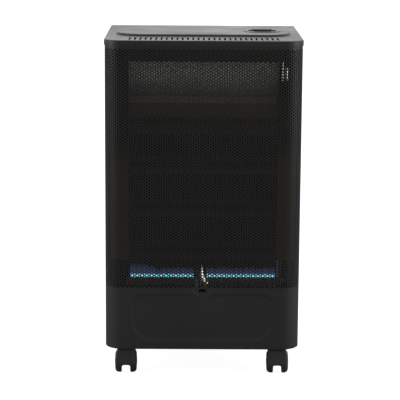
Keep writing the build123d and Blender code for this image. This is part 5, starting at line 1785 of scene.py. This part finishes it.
@dataclass
class TurnedParts(Assembly):
    """Nozzle, injector, nuts, pilot jet, thermocouple, electrode, igniter and the cover's studs."""

    valve: Pair = (128.5, -2.0)
    nozzle_z: float = 675.0
    hexagon: float = 8.0
    tail: float = 4.0
    bore: float = 2.5
    feed: Point = (0.0, -160.0, 208.0)
    unions: tuple[Box, ...] = ((-22.0, 668.0, 7.0, 4.6), (-34.0, 684.0, 5.5, 3.1))
    union_ends: Pair = (151.5, 159.5)
    pilot_y: float = -178.0
    jet_x: float = 7.0
    rod_x: float = -3.0
    electrode_x: float = -12.5
    igniter_place: Point = (161.5, 6.0, 0.0)
    studs: Point = (197.25, 159.8, 690.0)

    def nozzle(self) -> Shell:
        """Hexagon with a barbed tail: four cones in a row on one bore.

        Returns:
            The nozzle's shell.
        """
        x, y = self.valve
        r, t, b = self.hexagon, self.tail, self.bore
        place = (x, 0.0, self.nozzle_z)
        nut = turned([(b, y, 0.0), (r, y, 0.5), (r, y + 7.0, 0.9), (b, y + 7.0, 0.0)], 6, place, "Y", 2)
        start, end, neck = y + 6.9, y + 31.0, t - 0.8
        section = [(b, start, 0.0), (neck, start, 0.0)]
        for barb in np.arange(start + 3.5, end - 3.0, 5.0):
            section += [(neck, barb, 0.0), (t, barb + 0.3, 0.0)]
        section += [(t - 1.0, end, 0.0), (b, end, 0.0)]
        return nut.join(turned(section, 32, place, "Y"))

    def bodies(self) -> dict[str, Shell]:
        """Parts turned about one line: a section for each hexagon and each round length of theirs.

        The injector has a tapered tip, the nuts a bore, the pilot a jet with a waist and a domed hood, the
        thermocouple a nut and a round hot end, the ceramic a collar and a tapered end, and the igniter a
        collar and a terminal.

        Returns:
            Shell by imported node.
        """
        start, end = self.union_ends
        jet, rod, electrode = ((x, self.pilot_y, 0.0) for x in (self.jet_x, self.rod_x, self.electrode_x))
        table = [
            ("gas_injector", self.feed, "X", 6, 2, [
                (0.0, 166.0, 0.0), (5.0, 166.0, 0.7), (5.0, 176.0, 0.7), (0.0, 176.0, 0.0)]),
            ("gas_injector", self.feed, "X", 28, 4, [
                (0.0, 158.0, 0.0), (1.8, 158.0, 0.3), (3.0, 161.0, 0.4), (3.0, 166.2, 0.0),
                (0.0, 166.2, 0.0)]),
            *(("pipe_nuts", (0.0, y, z), "X", 6, 2, [
                (bore, start, 0.0), (radius, start, 0.8), (radius, end, 0.8), (bore, end, 0.0)])
              for y, z, radius, bore in self.unions),
            ("pilot_burner", jet, "Z", 6, 2, [
                (0.0, 186.0, 0.0), (4.0, 186.0, 0.5), (4.0, 204.0, 0.5), (0.0, 204.0, 0.0)]),
            ("pilot_burner", jet, "Z", 28, 3, [
                (0.0, 203.8, 0.0), (3.0, 203.8, 0.0), (3.0, 205.4, 0.3), (2.2, 206.2, 0.3), (2.2, 208.2, 0.3),
                (3.0, 209.0, 0.3), (3.0, 211.4, 0.8), (0.0, 212.0, 0.0)]),
            ("thermocouple", rod, "Z", 28, 3, [
                (0.0, 183.8, 0.0), (2.2, 183.8, 0.3), (2.2, 191.0, 0.2), (3.0, 191.0, 0.3),
                (3.0, 195.0, 0.3), (2.2, 195.0, 0.1), (2.2, 226.0, 0.4), (1.7, 227.2, 0.4),
                (1.7, 239.8, 1.5), (0.0, 240.0, 0.0)]),
            ("spark_electrode", electrode, "Z", 28, 3, [
                (0.0, 190.0, 0.0), (2.5, 190.0, 0.4), (2.5, 197.2, 0.1), (3.0, 197.6, 0.2), (3.0, 201.0, 0.5),
                (2.4, 202.0, 0.4), (2.2, 216.0, 0.8), (1.2, 218.0, 0.3), (0.0, 218.0, 0.0)]),
            ("piezo_igniter", self.igniter_place, "Z", 40, 3, [
                (0.0, 656.0, 0.0), (1.6, 656.0, 0.3), (1.6, 660.0, 0.0), (5.6, 660.0, 0.8), (5.8, 688.0, 0.3),
                (8.0, 690.0, 0.6), (8.0, 700.0, 0.6), (0.0, 700.0, 0.0)]),
        ]
        shells: dict[str, Shell] = {}
        for node, place, axis, sides, parts, section in table:
            shells.setdefault(node, Shell()).join(turned(section, sides, place, axis, parts))
        return shells

    def wire(self) -> Shell:
        """Electrode wire, bent over towards the thermocouple."""
        x, y = self.electrode_x, self.pilot_y
        return tube([(x, y, 217.0), (x, y, 231.0), (-8.2, y, 235.0)], 0.9, 2.5, 12)

    def stud(self) -> Shell:
        """Right stud: a domed head outside the flange and a shank with a rounded end and a groove.

        Returns:
            The stud's shell.
        """
        x, face, z = self.studs
        shank = [(0.0, face - 11.5, 0.0), (3.4, face - 11.5, 1.2), (4.0, face - 8.6, 0.5),
                 (3.2, face - 6.0, 0.5), (4.0, face - 3.6, 0.5), (4.0, face, 0.0)]
        head = [(6.5, face, 0.1), (6.2, face + 0.9, 0.5), (0.0, face + 1.5, 0.0)]
        return turned(shank + head, 32, (x, 0.0, z), "Y", 3)

    def build(self) -> None:
        """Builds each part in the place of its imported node."""
        look, steel, shells = self.finishes, "burner_steel", self.bodies()
        shells["hose_nozzle"] = self.nozzle()
        for name, material, slot in (
            ("hose_nozzle", look.brass, "brass"),
            ("gas_injector", look.brass, "brass"),
            ("pipe_nuts", look.brass, "brass"),
            ("pilot_burner", look.brass, "brass"),
            ("thermocouple", look.zinc, steel),
            ("spark_electrode", look.ceramic, "white_ceramic"),
            ("piezo_igniter", look.plastic, "black_plastic"),
        ):
            self.add(name + "_turned", shells[name], material, slot, name, crease=28.0)
        self.add("spark_wire", self.wire(), look.zinc, steel, "spark_electrode", crease=60.0)
        self.add("cover_studs_turned", self.stud().mirrored(), look.zinc, "spring_steel", "cover_studs",
                 body="rear_cover", crease=28.0)
        self.soften("castor_mounts", look.zinc, "spring_steel", 0.5)


class Chamber(Assembly):
    """Sheets of the chamber behind the mesh."""

    def build(self) -> None:
        """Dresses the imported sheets."""
        look = self.finishes
        self.dress(look.paint, "rear_top_rail", "grille_brackets", "base_tray")
        self.dress(look.bright, "top_deflector", "valve_bracket")
        self.dress(look.dark, "burner_shelf", "bulkhead")
        self.dress(look.tinted, "upper_back_plate")
        self.dress(look.baffle, "top_rail", "upper_baffle", "lower_baffles")
        self.dress(look.cheek, "left_chamber_cheek", "right_chamber_cheek")
        self.dress(look.zinc, "snap_clips")


@dataclass
class Castor(Assembly):
    """One twin-wheel castor about its swivel axis."""

    name: str
    centre: Pair
    trail: float = 18.0
    axle: float = 25.0
    axle_radius: float = 3.0
    axle_half: float = 23.4
    hood_radius: float = 28.5
    hood_half: float = 20.9
    hood_top: float = 60.0
    hood_arc: Pair = (36.5, 180.0)
    hood_inside: float = 26.2
    shoulder: float = 5.0
    shoulder_start: float = 26.6
    taper: Box = (34.0, 64.0, 1.03, 0.17)
    nose: float = 12.0
    web_half: float = 9.0
    web_radius: float = 26.4
    web_arc: Box = (20.0, 48.0, 172.0, 200.0)
    boss: float = 10.4
    wheel_inner: float = 9.6
    wheel_outer: float = 24.0
    wheel_radius: float = 25.0
    wheel_bore: float = 3.05

    def _outline(self, angle: Array) -> Array:
        """Distance from the axle to the hood's outer skin: a circle joined to the upright nose in front.

        For each direction the nose's distance is where the ray leaves its box; the larger of the two counts,
        and a running mean over nine directions rounds the joins.

        Args:
            angle: Directions, from the rear over the top to the front.

        Returns:
            The distances.
        """
        c, s = np.cos(angle), np.sin(angle)
        far, most = 1e9, 60.0
        to_top = np.where(s > CLOSE, (self.hood_top - self.axle) / np.maximum(s, CLOSE), far)
        to_front = np.where(c < -CLOSE, (-self.nose - self.trail) / np.minimum(c, -CLOSE), far)
        leave = np.minimum(to_top, to_front)
        in_front = (self.trail + leave * c <= self.nose + CLOSE) & (s >= -CLOSE)
        raw = np.maximum(self.hood_radius, np.minimum(np.where(in_front, leave, 0), most))
        kernel = np.hanning(9)
        smooth = np.convolve(np.pad(raw, 4, mode="edge"), kernel / kernel.sum(), "valid")
        return np.minimum(smooth, np.where(s > 0.3, to_top, far))

    def hood(self) -> Shell:
        """Hood over the wheels: an outer skin with rounded shoulders, an inner one just clear of the wheels.

        Both skins are rays from the axle; they are widest at the foot and taper towards the top.

        Returns:
            The hood's shell.
        """
        angle = np.linspace(*np.radians(self.hood_arc), 64)
        turn, flat = np.linspace(0, math.pi / 2, 7)[1:], self.hood_half - self.shoulder
        x = np.concatenate([np.linspace(0, flat, 6), flat + self.shoulder * np.sin(turn)])
        drop = np.concatenate([np.zeros(6), self.shoulder * (1 - np.cos(turn))])
        x, drop = np.concatenate([-x[:0:-1], x]), np.concatenate([drop[:0:-1], drop])
        reach = self._outline(angle)[:, None]
        low, high, wide, loss = self.taper
        skins = []
        for room in (reach - drop * np.minimum(1.0, (reach - self.shoulder_start) / self.shoulder),
                     np.full((len(angle), len(x)), self.hood_inside)):
            y = self.trail + np.cos(angle)[:, None] * room
            z = self.axle + np.sin(angle)[:, None] * room
            skins.append(np.stack([x * (wide - loss * blend_step(z, low, high)), y, z], -1))
        return plate(*skins)

    def web(self) -> Shell:
        """Web between the wheels: wide under the hood, a boss below that flares towards both wheels.

        Its rings go round the axle; by direction their radius goes from the boss to the hood's inside.

        Returns:
            The shell of the web and the axle.
        """
        angle = around(96)
        degrees = np.degrees(angle)
        rise, full, fall, end = self.web_arc
        wide = blend_step(degrees, rise, full) * (1 - blend_step(degrees, fall, end))
        h = self.web_half
        levels = [(2.6, -h), (1.7, -h + 0.5), (0.9, -h + 1.4), (0.25, -h + 3.0), (0.0, -h + 4.8)]
        levels += [(flare, -x) for flare, x in levels[::-1]]
        rings = []
        for flare, x in levels:
            radius = (self.boss + flare) * (1 - wide) + self.web_radius * wide
            rings.append(np.stack([np.full(len(angle), x), self.trail + radius * np.cos(angle),
                                   self.axle + radius * np.sin(angle)], 1))
        shell = capped(np.stack(rings), (-h, self.trail, self.axle), (h, self.trail, self.axle))
        r, half = self.axle_radius, self.axle_half
        axle = [(0.0, -half, 0.0), (r, -half, 0.4), (r, half, 0.4), (0.0, half, 0.0)]
        return shell.join(turned(axle, 24, (0.0, self.trail, self.axle), "X"))

    def wheel(self) -> Shell:
        """Right wheel: soft shoulders, a dished outer face with a raised hub.

        Returns:
            The wheel's shell.
        """
        r, a, b, bore = self.wheel_radius, self.wheel_inner, self.wheel_outer, self.wheel_bore
        return turned([
            (bore, a, 0.3), (r - 0.6, a, 0.8), (r, a + 1.4, 0.8), (r, b - 6.4, 2.8),
            (r - 3.0, b - 2.0, 2.2), (r - 8.0, b - 0.3, 2.0), (r - 9.6, b - 1.6, 0.8),
            (9.4, b - 2.0, 1.0), (8.0, b, 0.8), (bore, b, 0.4),
        ], 72, (0.0, self.trail, self.axle), "X", 5)

    def build(self) -> None:
        """Builds the hood and both wheels at the castor's place."""
        name, slot, move = self.name, "castor_plastic", np.array([*self.centre, 0.0])
        hood = Shell().join(self.hood().join(self.web()), move)
        self.add(f"hood_{name}", hood, self.finishes.hood, slot, f"castor_hood_{name}", body=f"castor_{name}",
                 crease=40.0)
        wheel = self.wheel()
        for side, sign in (("right", 1.0), ("left", -1.0)):
            shell = Shell().join(wheel, move, (sign, 1.0, 1.0))
            self.add(f"tyre_{name}_{side}", shell, self.finishes.wheel, slot, f"castor_wheel_{name}_{side}",
                     body=f"wheel_{name}_{side}", crease=40.0)


@dataclass
class Fasteners(Assembly):
    """Small screws and bolts that hold the sheets."""

    head: float = 3.4
    rise: float = 1.35
    side_x: float = 208.5
    seam_row: tuple[float, ...] = (-91.0, 100.0, 160.0)
    rear_row: tuple[float, ...] = (147.0, 110.0, 400.0, 600.0)
    lid_row: Pair = (160.0, 723.5)
    lid_x: tuple[float, ...] = (-150.0, 0.0, 150.0)
    castor_offset: float = 16.0
    castor_plate: float = 63.5
    bracket_row: Pair = (-127.0, 694.0)
    bracket_x: tuple[float, ...] = (104.0, 120.0, 160.0)

    def screw(self, place: Point, axis: str, sign: float = 1.0) -> Shell:
        """Pan-head screw with a round recess, its head out along an axis.

        Args:
            place: Where its head meets the sheet.
            axis: X, Y or Z.
            sign: 1 for outwards along the axis, -1 against it.

        Returns:
            The screw's shell.
        """
        r, h = self.head, self.rise
        corners = ((0.0, -1.0, 0.0), (r * 0.5, -1.0, 0.0), (r * 0.5, 0.0, 0.0), (r, 0.02, 0.1),
                   (r * 0.92, h * 0.75, 0.4), (r * 0.35, h, 0.3), (r * 0.3, h * 0.3, 0.1),
                   (0.0, h * 0.3, 0.0))
        return turned([(radius, z * sign, bend) for radius, z, bend in corners], 16, place, axis, 2)

    def build(self) -> None:
        """Builds the screws of panels and lid, and the bolts of the castor plates and the valve bracket."""
        dark, plated = Shell(), Shell()
        for side in (-1, 1):
            for y, *heights in (self.seam_row, self.rear_row):
                for z in heights:
                    dark.join(self.screw((side * self.side_x, y, z), "X", side))
        for x in self.lid_x:
            dark.join(self.screw((x, *self.lid_row), "Y"))
        off = self.castor_offset
        for cx, cy in sorted(CASTORS.values()):
            for dx, dy in ((-off, -off), (-off, off), (off, -off), (off, off)):
                plated.join(self.screw((cx + dx, cy + dy, self.castor_plate), "Z", -1.0))
        for x in self.bracket_x:
            plated.join(self.screw((x, *self.bracket_row), "Y", -1.0))
        self.add("panel_screws", dark, self.finishes.paint, "cabinet_black", crease=30.0)
        self.add("plated_bolts", plated, self.finishes.zinc, "spring_steel", crease=30.0)


@dataclass
class Studio:
    """Pale floor, soft lights and the camera; places of lights in metres, of the camera in millimetres."""

    camera: Point = (-29.0, -3501.0, 1056.0)
    yaw: float = 0.39
    pitch: float = 10.49
    roll: float = 0.38
    lens: float = 143.4
    shift: float = -0.06
    floor_half: float = 30.0
    floor_glow: float = 0.93
    floor_lit: Rgb = (0.30, 0.30, 0.30)
    floor_seen: Rgb = (0.55, 0.55, 0.55)
    ambient: float = 1.05
    front_loss: Pair = (1.5, 0.82)
    rear_gain: Point = (6.0, 4.0, 1.15)
    above_loss: Pair = (1.5, 0.55)
    dimmest: float = 0.12
    backdrop: float = 1.1
    lights: tuple[tuple[str, Point, Point, float, float], ...] = (
        ("left", (-2.6, -0.9, 1.1), (0.0, 0.0, 0.4), 1.6, 15.0),
        ("right", (2.6, -0.9, 1.1), (0.0, 0.0, 0.4), 1.6, 21.0),
        ("above", (0.0, -0.2, 3.2), (0.0, 0.0, 0.3), 2.6, 14.0),
    )

    def build(self) -> None:
        """Builds the studio."""
        bpy.context.scene.view_settings.view_transform = "Standard"
        self._floor()
        self._world()
        for light in self.lights:
            self._light(*light)
        self._camera()

    def _camera(self) -> None:
        """Creates the camera, rolled about its own axis, pitched down from level and turned by the yaw."""
        data = bpy.data.cameras.new("camera")
        data.lens, data.shift_y, data.sensor_width, data.clip_end = self.lens, self.shift, 36.0, 50.0
        camera = bpy.data.objects.new("camera", data)
        bpy.context.scene.collection.objects.link(camera)
        turn = (
            Matrix.Rotation(-math.radians(self.yaw), 4, "Z")
            @ Matrix.Rotation(math.radians(90 - self.pitch), 4, "X")
            @ Matrix.Rotation(math.radians(self.roll), 4, "Z")
        )
        camera.matrix_world = Matrix.Translation(Vector(self.camera) * MM) @ turn
        bpy.context.scene.camera = camera

    def _floor(self) -> None:
        """Large flat pale floor."""
        half = self.floor_half
        mesh = bpy.data.meshes.new("floor")
        corners = [(-half, -half, 0), (half, -half, 0), (half, half, 0), (-half, half, 0)]
        mesh.from_pydata(corners, [], [(0, 1, 2, 3)])
        material = bpy.data.materials.new("pale_floor")
        board = Board.on(material)
        seen = board.add("LightPath").outputs["Is Camera Ray"]
        tint = board.mix(seen, self.floor_lit, self.floor_seen)
        glow = board.math("MULTIPLY", seen, self.floor_glow)
        shader = board.add("BsdfPrincipled", Base_Color=tint, Roughness=1.0, Specular_IOR_Level=0.0,
                           Emission_Color=(1.0, 1.0, 1.0, 1.0), Emission_Strength=glow)
        board.add("OutputMaterial", Surface=shader.outputs[0])
        mesh.materials.append(material)
        floor = bpy.data.objects.new("floor", mesh)
        bpy.context.scene.collection.objects.link(floor)

    def _world(self) -> None:
        """White surround for the camera, dimmer and graded for the light it gives.

        The light is dimmer towards the front and above, and brighter behind just over the floor. Each loss
        or gain is a power of the way's share on its axis, times an amount.
        """
        world = bpy.data.worlds.new("surround")
        bpy.context.scene.world = world
        board = Board.on(world)
        way = board.add("SeparateXYZ", i0=board.add("TexCoord").outputs["Generated"]).outputs
        power, amount = self.front_loss
        front = board.math("MAXIMUM", board.math("MULTIPLY", way["Y"], -1.0), 0.0)
        loss = board.math("MULTIPLY", board.math("POWER", front, power), amount)
        light = board.math("SUBTRACT", self.ambient, loss)
        seen = board.add("LightPath").outputs["Is Camera Ray"]
        power, climb, amount = self.rear_gain
        behind = board.math("POWER", board.math("MAXIMUM", way["Y"], 0.0), power)
        raised = board.math("MULTIPLY", way["Z"], climb, True)
        gain = board.math("MULTIPLY", board.math("MULTIPLY", behind, raised), amount)
        light = board.math("ADD", light, gain)
        power, amount = self.above_loss
        above = board.math("POWER", board.math("MAXIMUM", way["Z"], 0.0), power)
        light = board.math("SUBTRACT", light, board.math("MULTIPLY", above, amount))
        light = board.math("MAXIMUM", light, self.dimmest)
        strength = board.math("MAXIMUM", light, board.math("MULTIPLY", seen, self.backdrop))
        back = board.add("Background", Color=(1.0, 1.0, 1.0, 1.0), Strength=strength)
        board.add("OutputWorld", Surface=back.outputs[0])

    @staticmethod
    def _light(name: str, place: Point, aim: Point, size: float, power: float) -> None:
        """One square soft light.

        Args:
            name: Its name.
            place: Where it stands, in metres.
            aim: What it points at.
            size: Side of the square in metres.
            power: Watts.
        """
        data = bpy.data.lights.new(name, "AREA")
        data.size, data.energy = size, power
        light = bpy.data.objects.new(name, data)
        bpy.context.scene.collection.objects.link(light)
        light.location = place
        light.rotation_euler = (Vector(aim) - Vector(place)).to_track_quat("-Z", "Y").to_euler()


def main() -> None:
    """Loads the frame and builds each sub-assembly in turn."""
    logging.basicConfig(level=logging.INFO, format="%(message)s")
    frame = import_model()
    Studio().build()
    finishes = Finishes()
    for part in (PerforatedFront, Lid, Controls, SidePanels, RearCover, Chamber, GasTrain, TurnedParts,
                 Flames):
        part(frame, finishes).build()
    for name, centre in CASTORS.items():
        Castor(frame, finishes, name, centre).build()
    Fasteners(frame, finishes).build()


if __name__ == "__main__":
    main()
